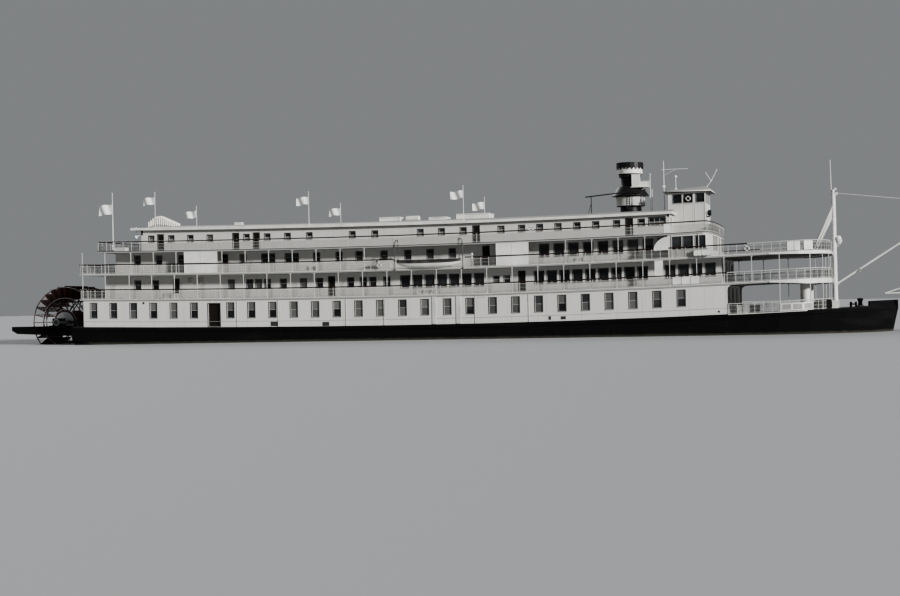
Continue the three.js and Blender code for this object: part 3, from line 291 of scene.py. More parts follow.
    def on_faces(self, piece: Piece, chosen: Callable[[bpy.types.MeshPolygon], bool],
                 work: Callable[[], None]) -> Piece:
        """Runs edit-mode work on the faces that meet a test."""
        self.edit(piece, lambda: bpy.ops.mesh.select_all(action="DESELECT"))
        for face in piece.data.polygons:
            face.select = chosen(face)
        self.pick(piece)
        bpy.ops.object.mode_set(mode="EDIT")
        bpy.ops.mesh.select_mode(type="FACE")
        work()
        bpy.ops.mesh.select_mode(type="VERT")
        bpy.ops.object.mode_set(mode="OBJECT")
        return piece

    def grid(self, stations: Sequence[float], columns: Sequence[float]) -> Piece:
        """Level sheet with its lines at stations along X and columns along Y."""
        bpy.ops.mesh.primitive_grid_add(
            x_subdivisions=len(stations) - 1, y_subdivisions=len(columns) - 1, size=2)

        def spread(points: np.ndarray) -> np.ndarray:
            """Points moved from their even places to the lines."""
            points[:, 0] = np.interp(points[:, 0], np.linspace(-1, 1, len(stations)), stations)
            points[:, 1] = np.interp(points[:, 1], np.linspace(-1, 1, len(columns)), columns)
            return points
        return self.moved(bpy.context.object, spread)

    def deepen(self, piece: Piece, level: float) -> Piece:
        """Makes a body of an open top, with a flat underside at a level."""
        return self.edit(piece, lambda: (
            bpy.ops.mesh.extrude_region_move(TRANSFORM_OT_translate={"value": (0, 0, -0.5)}),
            self.saw((0, 0, level), (0, 0, 1), use_fill=True, clear_inner=True),
            self.face_outwards()))

    def sunk(self, piece: Piece, margin: float, depth: float) -> Piece:
        """Insets the faces that look to starboard and sinks their middles.

        Args:
            piece: The body with the faces.
            margin: The width left round each sunk panel.
            depth: How far the panel goes in.

        Returns:
            The same piece.
        """
        return self.on_faces(
            piece, lambda face: face.normal.y < -0.9,
            lambda: bpy.ops.mesh.inset(thickness=margin, depth=-depth, use_individual=True))

    def lattice(self, width: float, height: float, rows: Sequence[float], columns: int, bar: float,
                depth: float) -> Piece:
        """Upright frame with bars, in the X-Z plane, from its foot at z = 0.

        Args:
            width: Width over all.
            height: Height over all.
            rows: Heights of the cross bars as shares of the height.
            columns: Number of panes across.
            bar: Width of a bar.
            depth: Thickness across the plane.

        Returns:
            The frame, centred on x = 0 and y = 0.
        """
        bpy.ops.mesh.primitive_plane_add(size=1, location=(0, 0, height / 2), rotation=(math.pi / 2, 0, 0))
        bpy.context.object.scale = (width, height, 1)
        piece = self.settle(bpy.context.object)

        def work() -> None:
            """Splits the face into panes and opens them."""
            for share in rows:
                self.saw((0, 0, height * share), (0, 0, 1))
            for i in range(1, columns):
                self.saw((width * (i / columns - 0.5), 0, 0), (1, 0, 0))
            bpy.ops.mesh.select_all(action="SELECT")
            bpy.ops.mesh.inset(thickness=bar / 2, use_individual=True)
            bpy.ops.mesh.delete(type="FACE")
        self.edit(piece, work)
        return self.modify(piece, "SOLIDIFY", thickness=depth, offset=0)

    def array(self, piece: Piece, count: int, step: float) -> Piece:
        """Row of copies along X."""
        return self.modify(piece, "ARRAY", count=count, use_relative_offset=False,
                           use_constant_offset=True, constant_offset_displace=(step, 0, 0))

    def mirrored(self, piece: Piece) -> Piece:
        """The piece with its mirror image on the other side of the ship."""
        return self.modify(piece, "MIRROR", use_axis=(False, True, False), use_mirror_merge=False)

    def join(self, pieces: Sequence[Piece]) -> Piece:
        """Makes one piece of several."""
        self.pick(*pieces)
        if len(pieces) > 1:
            bpy.ops.object.join()
        return bpy.context.object

    def both(self, pieces: Sequence[Piece]) -> Piece:
        """Makes one piece of several and of their mirror images."""
        return self.mirrored(self.join(pieces))

    def stamp(self, pattern: Piece, places: Iterable[Point | Matrix]) -> Piece:
        """Copies of a pattern at places, joined, without the pattern itself."""
        copies = []
        for place in places:
            copy = pattern.copy()
            copy.data = pattern.data.copy()
            copy.data.transform(place if isinstance(place, Matrix) else Matrix.Translation(place))
            chance = copy.data.attributes.new("chance", "FLOAT", "POINT")
            chance.data.foreach_set("value", [random.random()] * len(copy.data.vertices))
            bpy.context.scene.collection.objects.link(copy)
            copies.append(copy)
        bpy.data.objects.remove(pattern)
        return self.join(copies)

    def moved(self, piece: Piece, shape: Callable[[np.ndarray], np.ndarray]) -> Piece:
        """Moves every point of the mesh by a rule on the array of points."""
        mesh = piece.data
        points = np.empty(len(mesh.vertices) * 3)
        mesh.vertices.foreach_get("co", points)
        mesh.vertices.foreach_set("co", shape(points.reshape(-1, 3)).ravel())
        mesh.update()
        return piece

    def lift(self, piece: Piece) -> Piece:
        """Adds the sheer to every point."""
        def rise(points: np.ndarray) -> np.ndarray:
            """Points with the sheer on their heights."""
            points[:, 2] += sheers(points[:, 0])
            return points
        return self.moved(piece, rise)

    def roofed(self, piece: Piece) -> Piece:
        """Raises what was built above EAVE to the upper roof's line, and adds the sheer."""
        def rise(points: np.ndarray) -> np.ndarray:
            """Points above EAVE carried up with the roof."""
            points[:, 2] += np.where(points[:, 2] > EAVE - 0.0065, eave(points[:, 0]) - EAVE, 0)
            return points
        return self.lift(self.moved(piece, rise))

    def smooth(self, piece: Piece, degrees: float = 35) -> Piece:
        """Smooth shading up to an angle."""
        self.pick(piece)
        bpy.ops.object.shade_smooth_by_angle(angle=math.radians(degrees))
        return piece

    def finish(self, piece: Piece, name: str, finish: "Finish", slot: str, body: str = "root",
               replaces: Sequence[str] = ()) -> Piece:
        """Names, paints and seats a finished piece.

        Args:
            piece: The mesh, with its place in it.
            name: The piece's name.
            finish: What it is painted or made of.
            slot: The record's material slot; not used.
            body: The body that it rides on.
            replaces: The CAD nodes that it stands for.

        Returns:
            The same piece.
        """
        piece.name = name
        piece.data.name = name
        piece.data.materials.clear()
        piece.data.materials.append(finish.material())
        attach(piece, body)
        if replaces:
            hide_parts(*replaces)
        LOG.info("%s: %d faces", name, len(piece.data.polygons))
        return piece


class Wire:
    """A shader socket that takes part in arithmetic."""

    def __init__(self, book: "NodeBook", socket: bpy.types.NodeSocket) -> None:
        """Wraps an output socket."""
        self.book = book
        self.socket = socket

    def _math(self, operation: str, *values: "Wire | float") -> "Wire":
        """A Math node on this and other values."""
        return self.book.node("ShaderNodeMath", {"operation": operation}, dict(enumerate(values)))

    def __add__(self, other: "Wire | float") -> "Wire":
        """Sum."""
        return self._math("ADD", self, other)

    def __mul__(self, other: "Wire | float") -> "Wire":
        """Product."""
        return self._math("MULTIPLY", self, other)

    def __sub__(self, other: "Wire | float") -> "Wire":
        """Difference."""
        return self._math("SUBTRACT", self, other)

    def __rsub__(self, other: float) -> "Wire":
        """Difference from a number."""
        return self._math("SUBTRACT", other, self)

    def __lt__(self, other: "Wire | float") -> "Wire":
        """One where this is smaller, else zero."""
        return self._math("LESS_THAN", self, other)

    def __gt__(self, other: "Wire | float") -> "Wire":
        """One where this is larger, else zero."""
        return self._math("GREATER_THAN", self, other)

    def fract(self) -> "Wire":
        """Part after the point."""
        return self._math("FRACT", self)

    def floor(self) -> "Wire":
        """Whole part."""
        return self._math("FLOOR", self)

    def clamped(self) -> "Wire":
        """Value held between 0 and 1."""
        return self.book.node("ShaderNodeClamp", {}, {"Value": self})


Skin = tuple[Wire, Wire, Wire | None]


class NodeBook:
    """The node tree of one material."""

    def __init__(self, name: str) -> None:
        """Starts an empty node material."""
        self.material = bpy.data.materials.new(name)
        self.material.use_nodes = True
        self.tree = self.material.node_tree
        self.tree.nodes.clear()
        self.place = self.node("ShaderNodeTexCoord", {}, {}, "Object")
        self.x, self.y, self.z = (self.axis(self.place, letter) for letter in "XYZ")

    def axis(self, vector: Wire, letter: str) -> Wire:
        """One part of a vector."""
        return self.node("ShaderNodeSeparateXYZ", {}, {0: vector}, letter)

    def node(self, kind: str, settings: dict[str, object], inputs: dict[str | int, object],
             output: str | int = 0) -> Wire:
        """Adds a node.

        Args:
            kind: The node's type.
            settings: Properties that are set first.
            inputs: Values or wires by socket name or number.
            output: The output that is returned.

        Returns:
            That output, ready for arithmetic.
        """
        node = self.tree.nodes.new(kind)
        for name, value in settings.items():
            setattr(node, name, value)
        for name, value in inputs.items():
            if isinstance(value, Wire):
                self.tree.links.new(value.socket, node.inputs[name])
            else:
                node.inputs[name].default_value = value
        return Wire(self, node.outputs[output])

    def noise(self, scale: float, detail: float = 3, stretch: Point = (1, 1, 1)) -> Wire:
        """Noise over the object, stretched along the axes."""
        where = self.node("ShaderNodeVectorMath", {"operation": "MULTIPLY"}, {0: self.place, 1: stretch})
        return self.node("ShaderNodeTexNoise", {}, {"Vector": where, "Scale": scale, "Detail": detail})

    def band(self, value: Wire, low: float, high: float) -> Wire:
        """Value's rise from 0 at low to 1 at high."""
        return self.node("ShaderNodeMapRange", {}, {"Value": value, "From Min": low, "From Max": high})

    def cell(self, value: Wire, size: float) -> Wire:
        """A random number for each stretch of a coordinate."""
        number = (value * (1 / size)).floor()
        return self.node("ShaderNodeTexWhiteNoise", {"noise_dimensions": "1D"}, {"W": number})

    def chance(self) -> Wire:
        """The random number that each stamped copy carries."""
        return self.node("ShaderNodeAttribute", {"attribute_name": "chance"}, {}, "Fac")

    def mix(self, first: "Wire | Colour", second: "Wire | Colour", share: "Wire | float") -> Wire:
        """Colour between two colours."""
        ends = [c if isinstance(c, Wire) else (*c, 1.0) for c in (first, second)]
        return self.node("ShaderNodeMix", {"data_type": "RGBA"}, {0: share, 6: ends[0], 7: ends[1]}, 2)

    def facing_up(self) -> Wire:
        """How far a face looks up, from -1 to 1."""
        return self.axis(self.node("ShaderNodeNewGeometry", {}, {}, "Normal"), "Z")

    def close(self, colour: Wire, roughness: Wire, height: Wire | None, finish: "Finish") -> bpy.types.Material:
        """Ends the tree in a shader.

        Args:
            colour: Base colour.
            roughness: Roughness.
            height: Height of the surface detail, 0 to 1, or None.
            finish: The finish, for the depth of that detail and for what is the same all over.

        Returns:
            The material.
        """
        inputs: dict[str | int, object] = {
            "Base Color": colour, "Roughness": roughness, "Metallic": finish.metallic,
            "Specular IOR Level": finish.gloss, "Coat Weight": finish.coat}
        if height is not None:
            detail = {"Height": height, "Distance": finish.depth, "Strength": 0.8}
            inputs["Normal"] = self.node("ShaderNodeBump", {}, detail)
        shader = self.node("ShaderNodeBsdfPrincipled", {}, inputs)
        output = self.tree.nodes.new("ShaderNodeOutputMaterial")
        self.tree.links.new(shader.socket, output.inputs["Surface"])
        return self.material


@dataclass(frozen=True)
class Finish:
    """One finish; its material is made once and shared."""

    name: str
    colour: Colour
    roughness: float = 0.5
    coat: float = 0.0
    metallic: float = 0.0
    depth: float = 0.0006
    gloss: float = 0.35

    def material(self) -> bpy.types.Material:
        """The finish as a node material."""
        ready = bpy.data.materials.get(self.name)
        if ready:
            return ready
        book = NodeBook(self.name)
        return book.close(*self.pattern(book), self)

    def pattern(self, book: NodeBook) -> Skin:
        """Colour, roughness and height; plain worn paint unless a finish has its own."""
        patches = book.band(book.noise(9, 4), 0.35, 0.7)
        fine = book.noise(160, 3)
        darker = tuple(c * 0.78 for c in self.colour)
        return book.mix(self.colour, darker, patches), fine * 0.15 + (self.roughness - 0.07), fine


@dataclass(frozen=True)
class Paper(Finish):
    """Even matt paper."""

    def pattern(self, book: NodeBook) -> Skin:
        """The one colour all over."""
        return book.mix(self.colour, self.colour, 0.0), book.x * 0 + self.roughness, None


@dataclass(frozen=True)
class HousePaint(Finish):
    """White paint on boarding, with rain streaks and grime."""

    pitch: float = 0.015
    grime: float = 0.5
    seam_share: float = 0.3
    grime_colour: Colour = (0.30, 0.28, 0.24)

    def pattern(self, book: NodeBook) -> Skin:
        """Boards with seams, streaks that run down and a blotchy bloom."""
        across = book.x + book.y
        seam = (across * (1 / self.pitch)).fract() < 0.07
        streaks = book.band(book.noise(1, 3, (55, 55, 2.5)), 0.52, 0.78)
        bloom = book.band(book.noise(1.7, 4), 0.4, 0.75)
        fine = book.noise(140, 3)
        board = book.cell(across, self.pitch * 3)
        dirt = (streaks * 0.55 + bloom * 0.35 + board * 0.12) * self.grime
        colour = book.mix(self.colour, self.grime_colour, dirt.clamped() * 0.6)
        colour = book.mix(colour, tuple(c * 0.55 for c in self.colour), seam * self.seam_share)
        return colour, fine * 0.2 + (self.roughness - 0.1), fine * 0.3 + (1 - seam) * 0.7


@dataclass(frozen=True)
class HullPaint(Finish):
    """Black hull plating over dull red bottom paint, with a grey deck on top."""

    bottom: Colour = (0.075, 0.022, 0.016)
    scum: Colour = (0.10, 0.095, 0.075)
    deck: Colour = (0.15, 0.15, 0.145)
    scuffed: Colour = (0.022, 0.021, 0.020)
    plate: float = 0.24

    def pattern(self, book: NodeBook) -> Skin:
        """Plates, scuffs, a dried band at the waterline and worn deck paint."""
        seam = ((book.x * (1 / self.plate)).fract() < 0.012) + ((book.z * (1 / 0.105)).fract() < 0.02)
        scuff = book.band(book.noise(1, 5, (1.5, 1.5, 16)), 0.55, 0.8)
        drips = book.band(book.noise(1, 3, (40, 40, 2)), 0.58, 0.8)
        fine = book.noise(90, 4)
        side = book.mix(self.colour, self.scuffed, scuff * 0.5 + drips * 0.25)
        edge = book.noise(14, 4) * 0.018 + book.z
        side = book.mix(side, self.scum, (1 - book.band(edge, WATERLINE + 0.008, WATERLINE + 0.035)) * 0.7)
        side = book.mix(side, self.bottom, edge < WATERLINE + 0.006)
        top = book.mix(self.deck, (0.07, 0.07, 0.068), book.band(book.noise(3, 5), 0.4, 0.7))
        colour = book.mix(side, top, book.facing_up() > 0.7)
        return colour, fine * 0.25 + (self.roughness - 0.1), fine * 0.5 - seam


@dataclass(frozen=True)
class DeckPaint(Finish):
    """Worn grey deck boards on top; white paint on the edge and the underside, greyed as painted shade under
    the deck.
    """

    # The edge and the ceiling are white paint greyed as painted shade: a dark line under the nosing and a dim
    # ceiling over the galleries.
    edge: Colour = (0.32, 0.316, 0.303)
    shaded_ceiling: Colour = (0.40, 0.395, 0.375)
    board: float = 0.014

    def pattern(self, book: NodeBook) -> Skin:
        """Boards along the ship with butts, and an edge and underside greyed as painted shade."""
        seam = (book.y * (1 / self.board)).fract() < 0.09
        tone = book.cell(book.y, self.board)
        wear = book.band(book.noise(1, 4, (2, 9, 2)), 0.4, 0.7)
        top = book.mix(self.colour, tuple(c * 1.35 for c in self.colour), tone * 0.4 + wear * 0.3)
        top = book.mix(top, (0.05, 0.05, 0.048), seam * 0.6)
        # Painted shade: underside and edge faces take the greyed white, the underside with darker stripes at
        # the beams.
        beam = (book.x * (1 / 0.07)).fract() < 0.12
        under = book.mix(self.shaded_ceiling, tuple(c * 0.6 for c in self.shaded_ceiling), beam * 0.5)
        under = book.mix(self.edge, under, book.facing_up() < -0.7)
        return book.mix(under, top, book.facing_up() > 0.7), wear * 0.15 + self.roughness, 1 - seam


@dataclass(frozen=True)
class RoofCanvas(Finish):
    """Painted canvas in strips across the roof."""

    strip: float = 0.09

    def pattern(self, book: NodeBook) -> Skin:
        """Lapped strips with stains that spread from the seams."""
        place = (book.x * (1 / self.strip)).fract()
        seam = place < 0.05
        stain = book.band(book.noise(4, 5), 0.45, 0.75) * 0.6 + book.cell(book.x, self.strip) * 0.18
        colour = book.mix(self.colour, (0.33, 0.32, 0.29), stain)
        colour = book.mix(colour, (0.27, 0.26, 0.25), seam * 0.5)
        weave = book.noise(420, 2)
        return colour, weave * 0.2 + self.roughness, weave * 0.3 + seam


@dataclass(frozen=True)
class Timber(Finish):
    """Varnished or painted timber with its grain along one axis."""

    stretch: Point = (3, 60, 60)
    light: Colour = (0.16, 0.075, 0.035)

    def pattern(self, book: NodeBook) -> Skin:
        """Grain, and lighter worn stretches."""
        grain = book.noise(1.5, 5, self.stretch)
        worn = book.band(book.noise(6, 3), 0.5, 0.75)
        colour = book.mix(self.colour, self.light, grain * 0.5 + worn * 0.35)
        return colour, worn * 0.25 + self.roughness, grain


@dataclass(frozen=True)
class PaneGlass(Finish):
    """Window glass over dark rooms, with blinds drawn behind some of it."""

    blind: Colour = (0.30, 0.295, 0.28)
    drawn: float = 0.3
    reflection: Colour = (0.045, 0.047, 0.05)

    def pattern(self, book: NodeBook) -> Skin:
        """Dark panes, blinds of their own tone by the window with painted shade in their folds, and a painted
        reflection of the sky.
        """
        chance = book.chance()
        # Painted shade along the blinds' folds, mixed with each blind's own tone by the window.
        fold_shade_and_tone = book.noise(1, 2, (220, 220, 4)) * 0.4 + (chance * 7.31).fract() * 0.6
        cloth = book.mix(self.blind, tuple(c * 0.4 for c in self.blind), fold_shade_and_tone)
        # Painted reflection of the sky on the glass.
        sky = book.band(book.noise(2.6, 3, (1, 1, 3)), 0.42, 0.7)
        glass = book.mix(self.colour, self.reflection, sky)
        colour = book.mix(glass, cloth, chance < self.drawn)
        return colour, sky * 0.12 + self.roughness, None


@dataclass(frozen=True)
class FlagCloth(Finish):
    """Thin weathered cloth with a fine weave."""

    def pattern(self, book: NodeBook) -> Skin:
        """Weave both ways and faint patches of soot."""
        warp = (book.x * 900).fract()
        weft = (book.z * 900).fract()
        soot = book.band(book.noise(12, 4), 0.45, 0.8)
        colour = book.mix(self.colour, (0.42, 0.41, 0.38), soot * 0.5)
        return colour, soot * 0.1 + self.roughness, warp * 0.5 + weft * 0.5


class Look:
    """The finishes of the ship."""

    hull = HullPaint("black_hull_paint", (0.0075, 0.0075, 0.008), 0.75, gloss=0.05)
    black = HullPaint("black_beam_paint", (0.004, 0.004, 0.0045), 0.65, deck=(0.012, 0.012, 0.012), plate=0.4,
                      gloss=0.15)
    wall = HousePaint("white_wall_paint", (0.63, 0.62, 0.59), 0.5, pitch=0.32, grime=0.6, seam_share=0.12)
    boards = HousePaint("white_board_paint", (0.65, 0.64, 0.61), 0.5, pitch=0.013, grime=0.6)
    trim = Finish("white_trim_paint", (0.80, 0.79, 0.75), 0.45)
    deck = DeckPaint("grey_deck_paint", (0.11, 0.11, 0.107), 0.7, gloss=0.15)
    roof = RoofCanvas("roof_canvas", (0.36, 0.355, 0.335), 0.7)
    varnish = Timber("varnished_rail", (0.012, 0.006, 0.004), 0.35, coat=0.2, light=(0.030, 0.014, 0.008))
    door = Timber("brown_door_wood", (0.007, 0.005, 0.004), 0.5,
                  stretch=(60, 60, 3), light=(0.016, 0.010, 0.007))
    wheel = Timber("red_wheel_timber", (0.055, 0.013, 0.009), 0.55,
                   stretch=(20, 20, 20), light=(0.105, 0.036, 0.025))
    iron = Finish("worn_iron", (0.10, 0.10, 0.105), 0.45, metallic=0.7)
    glass = PaneGlass("window_glass", (0.006, 0.007, 0.008), 0.12, blind=(0.12, 0.12, 0.115), drawn=0.2)
    shaded_glass = PaneGlass("shaded_sash_glass", (0.030, 0.031, 0.033), 0.2,
                             blind=(0.17, 0.168, 0.16), drawn=0.85)
    half_glass = PaneGlass("half_shaded_glass", (0.010, 0.011, 0.012), 0.2,
                           blind=(0.14, 0.14, 0.135), drawn=0.55)
    pale_glass = PaneGlass("curtained_glass", (0.06, 0.06, 0.06), 0.2, blind=(0.30, 0.295, 0.28), drawn=0.75)
    grey_white = Finish("off_white_fitting_paint", (0.56, 0.555, 0.53), 0.5)
    # White paint greyed as painted shade, for rails, posts, window frames and the funnel's lower band.
    rail = Finish("rail_white_greyed_as_shade", (0.52, 0.515, 0.49), 0.55)
    # White wire netting painted dark grey as painted shade of the galleries seen through it.
    netting = Finish("wire_netting_dark_as_shade", (0.15, 0.149, 0.143), 0.6)
    shade = Finish("deck_edge_grey", (0.085, 0.085, 0.082), 0.55)
    jamb = Finish("dark_window_casing", (0.045, 0.045, 0.044), 0.5)
    grey = Finish("grey_fitting_paint", (0.34, 0.335, 0.32), 0.5)
    dark = Finish("dark_fitting_paint", (0.012, 0.012, 0.013), 0.5)
    tarpaulin = FlagCloth("dark_boat_cover", (0.035, 0.035, 0.034), 0.7, depth=0.0002)
    lamp = Finish("lamp_globe_glass", (0.85, 0.84, 0.80), 0.15, coat=0.5)
    cloth = FlagCloth("flag_cloth", (0.74, 0.73, 0.70), 0.8, depth=0.0001)
    brass = Finish("whistle_plate", (0.88, 0.86, 0.80), 0.3, coat=0.3)
    galvanized = Finish("galvanized_iron", (0.52, 0.52, 0.52), 0.5)
    funnel = HousePaint("funnel_black_paint", (0.007, 0.007, 0.0075), 0.45, pitch=0.09,
                        grime_colour=(0.03, 0.028, 0.026))


@dataclass(frozen=True)
class Studio:
    """Camera, floor and light."""

    eye: Point = (3.605, -14.567, 0.545)
    lens: float = 62.0
    yaw: float = 14.76
    pitch: float = 0.22
    roll: float = 1.2
    sensor: float = 36.0
    floor_size: float = 260.0
    floor_colour: Colour = (0.46, 0.464, 0.468)
    suns: Sequence[tuple[str, Point, float, float]] = (
        ("key", (0.88, -0.54, 0.31), 4.3, 6), ("fill", (-0.6, 0.7, 0.5), 0.9, 30))
    sky: Colour = (0.62, 0.64, 0.66)
    sky_strength: float = 0.34

    def camera(self) -> None:
        """Sets the camera at the photograph's viewpoint."""
        yaw, pitch, roll = (math.radians(a) for a in (self.yaw, self.pitch, self.roll))
        forward = Vector((-math.sin(yaw) * math.cos(pitch), math.cos(yaw) * math.cos(pitch), math.sin(pitch)))
        right = Vector((math.cos(yaw), math.sin(yaw), 0))
        up = right.cross(forward)
        across = right * math.cos(roll) - up * math.sin(roll)
        over = right * math.sin(roll) + up * math.cos(roll)
        data = bpy.data.cameras.new("camera")
        data.lens, data.sensor_width = self.lens, self.sensor
        data.clip_end = 500
        camera = bpy.data.objects.new("camera", data)
        turn = Matrix((across, over, -forward)).transposed().to_4x4()
        camera.matrix_world = Matrix.Translation(self.eye) @ turn
        bpy.context.scene.collection.objects.link(camera)
        bpy.context.scene.camera = camera

    def floor(self) -> None:
        """Lays the pale floor at the waterline."""
        bpy.ops.mesh.primitive_plane_add(size=self.floor_size, location=(0, 0, WATERLINE))
        floor = bpy.context.object
        floor.name = "floor"
        floor.data.materials.append(Paper("floor_paper", self.floor_colour, 0.9, gloss=0.1).material())

    def lights(self) -> None:
        """Adds a soft key from ahead, a weak fill from astern and an even sky."""
        for name, source, energy, spread in self.suns:
            data = bpy.data.lights.new(name, "SUN")
            data.energy, data.angle = energy, math.radians(spread)
            lamp = bpy.data.objects.new(name, data)
            lamp.rotation_mode = "QUATERNION"
            lamp.rotation_quaternion = Vector(source).to_track_quat("Z", "Y")
            bpy.context.scene.collection.objects.link(lamp)
        world = bpy.data.worlds.new("sky")
        world.use_nodes = True
        background = world.node_tree.nodes["Background"]
        background.inputs["Color"].default_value = (*self.sky, 1)
        background.inputs["Strength"].default_value = self.sky_strength
        bpy.context.scene.world = world
        bpy.context.scene.view_settings.view_transform = "AgX"
        bpy.context.scene.view_settings.look = "AgX - Medium High Contrast"

    def build(self) -> None:
        """Sets up the whole studio."""
        self.camera()
        self.floor()
        self.lights()


class Kind(Enum):
    """Kinds of window and door. Values: width, sill, head above the deck, cross bars, panes across."""

    SASH = (0.064, 0.088, 0.232, (0.5,), 1)
    CARGO = (0.118, 0.006, 0.226, (), 1)
    DOOR = (0.058, 0.008, 0.190, (), 1)
    TEXAS_DOOR = (0.058, 0.008, 0.164, (), 1)
    WINDOW = (0.058, 0.092, 0.176, (0.5,), 1)
    SMALL = (0.052, 0.096, 0.152, (0.5,), 1)
    GLAZED = (0.084, 0.070, 0.184, (), 1)
    WIDE = (0.146, 0.092, 0.160, (0.5,), 3)
    PILOT = (0.078, 0.300, 0.378, (), 1)
    FRONT = (0.084, 0.300, 0.378, (), 1)
    LOUNGE_DOOR = (0.080, 0.010, 0.184, (), 1)

    def glazed(self) -> bool:
        """Whether it is a window."""
        return self not in (Kind.DOOR, Kind.CARGO, Kind.TEXAS_DOOR, Kind.LOUNGE_DOOR)


Row = list[tuple[float, Kind]]


def row(kind: Kind, places: Iterable[float]) -> Row:
    """Openings of one kind, from stations in millimetres."""
    return [(x / 1000, kind) for x in places]


@dataclass
class Wall(Assembly):
    """Walls of one deck house with their windows and doors.

    The ends are openings of the cross walls: station, distance from the centre line, kind, and 1 where the
    wall faces forward or -1 where it faces aft.
    """

    name: str
    deck: float
    half: float
    openings: Row
    ends: Sequence[tuple[float, float, Kind, int]] = ()
    panes: tuple[PaneGlass, PaneGlass] = (Look.glass, Look.glass)
    casing: float = 0.006
    crest: float = 0.004
    proud: float = 0.0012
    recess: float = 0.005
    sash: float = 0.0026

    def frame(self, kind: Kind) -> Piece:
        """Sash bars and sill of one opening, with the wall's face on y = 0."""
        width, sill, head, rows, columns = kind.value
        parts = [self.lattice(width, head - sill, rows, columns, self.sash, 0.003)]
        parts[0].data.transform(spot((0, self.recess, sill)))
        if kind.glazed():
            reach = width / 2 + self.casing + 0.002
            parts.append(self.box((-reach, -0.0045, sill - 0.008), (reach, 0, sill - 0.004), 0.0008))
        return self.join(parts)

    def surround(self, kind: Kind) -> Piece:
        """Dark casing round one opening, wider at its sides."""
        width, sill, head = kind.value[:3]
        half, side = width / 2, self.casing
        foot, top = sill - min(side, 0.004), head + self.crest
        strips = ((-half - side, -half, foot, top), (half, half + side, foot, top),
                  (-half, half, head, top), (-half, half, foot, sill))
        return self.join([self.box((a, -self.proud, low), (b, 0.0005, high)) for a, b, low, high in strips])

    def pane(self, kind: Kind, low: float, high: float) -> Piece:
        """Glass of one opening between two shares of its height."""
        width, sill, head = kind.value[:3]
        z0, z1 = (sill + share * (head - sill) for share in (low, high))
        y = self.recess + 0.0015
        return self.box((-width / 2, y, z0), (width / 2, y + 0.0015, z1), 0.0003)

    def leaf(self, kind: Kind) -> Piece:
        """Door leaf with a sunk panel below and above its lock rail."""
        width, sill, head = kind.value[:3]
        leaf = self.box((-width / 2, 0.003, sill), (width / 2, 0.0065, head))
        middle = sill + 0.45 * (head - sill)
        self.edit(leaf, lambda: self.saw((0, 0, middle), (0, 0, 1)))
        self.sunk(leaf, 0.008, 0.0015)
        knob = self.ball((width / 2 - 0.006, 0.001, middle + 0.004), 0.0022)
        return self.join([leaf, knob])

    def places(self, centred: bool, kinds: Sequence[Kind]) -> dict[Kind, list[Matrix]]:
        """Places of the openings by kind: those on the centre line, or the ones to starboard of it."""
        found: dict[Kind, list[Matrix]] = {}
        sides = [(x, -self.half, kind, 0.0) for x, kind in self.openings]
        ends = [(x, -y, kind, way * math.pi / 2) for x, y, kind, way in self.ends]
        for x, y, kind, angle in sides + ends:
            if kind in kinds and (abs(y) < 1e-6) == centred:
                found.setdefault(kind, []).append(spot((x, y, self.deck), angle))
        return found

    def row_of(self, kinds: Sequence[Kind], make: Callable[[Kind], Piece]) -> Piece | None:
        """One piece from a pattern of each kind, stamped on both sides and lifted."""
        parts = []
        for centred in (False, True):
            group = [self.stamp(make(kind), spots) for kind, spots in self.places(centred, kinds).items()]
            if group:
                joined = self.join(group)
                parts.append(joined if centred else self.mirrored(joined))
        return self.lift(self.join(parts)) if parts else None

    def build(self) -> None:
        """Fits frames, glass and doors."""
        windows = [kind for kind in Kind if kind.glazed()]
        self.finish(self.row_of(list(Kind), self.frame), f"{self.name}_window_frames", Look.rail, "white_house")
        self.finish(self.row_of(list(Kind), self.surround), f"{self.name}_casings", Look.jamb, "white_house")
        for place, low, glass in (("lower", 0, self.panes[0]), ("upper", 0.5, self.panes[1])):
            panes = self.row_of(windows, lambda kind, low=low: self.pane(kind, low, low + 0.5))
            self.finish(panes, f"{self.name}_{place}_glass", glass, "window_glass")
        doors = self.row_of([Kind.DOOR, Kind.TEXAS_DOOR, Kind.LOUNGE_DOOR], self.leaf)
        if doors:
            self.finish(doors, f"{self.name}_doors", Look.door, "dark_wood")


MAIN_ROW = row(Kind.SASH, pitched(-3588, 211, 6)) + row(Kind.CARGO, [-2327]) + row(
    Kind.SASH, pitched(-2159, 212.9, 21))
CABIN_2_ROW = (
    row(Kind.WINDOW, [-3186, -2998, -2207, -2018, -1928, -1838, -1676, -1473, -1312, -1004, -879, -785, -648])
    + row(Kind.DOOR, [-2780, -1192, 640]) + row(Kind.SMALL, [400, 500])
    + row(Kind.GLAZED, pitched(-470, 118, 7) + pitched(800, 118, 9) + pitched(1990, 118, 4)))
CABIN_3_ROW = (
    row(Kind.WINDOW, [-3186, -2958, -2717, -2272, -2082, -1862, -1790, -1622, -1550, -1337, -1113, -915,
                      -670, -439, -224, -11])
    + row(Kind.DOOR, [309]) + row(Kind.GLAZED, pitched(852, 135, 9)))
TEXAS_ROW = (
    row(Kind.SMALL, [-3141, -2926, -2723, -2517, -2133, -1918, -1709, -1486, -1051, -826, -377, -170, 41, 404,
                     600, 770, 943, 1120, 1294, 1486, 1712])
    + row(Kind.TEXAS_DOOR, [-3042, -2246, -2031, 165, 1600]) + row(Kind.WIDE, [1854]))
PILOT_ROW = row(Kind.PILOT, [2007, 2107, 2220])
LOUNGE_HALF = 0.876
LOUNGE_ROW = row(Kind.GLAZED, [2064, 2165, 2275])
LOUNGE_ENDS = [(2.361, 0.5, Kind.GLAZED, 1), (2.364, 0.38, Kind.GLAZED, 1), (2.366, 0.26, Kind.GLAZED, 1),
               (2.366, 0.0, Kind.LOUNGE_DOOR, 1)]
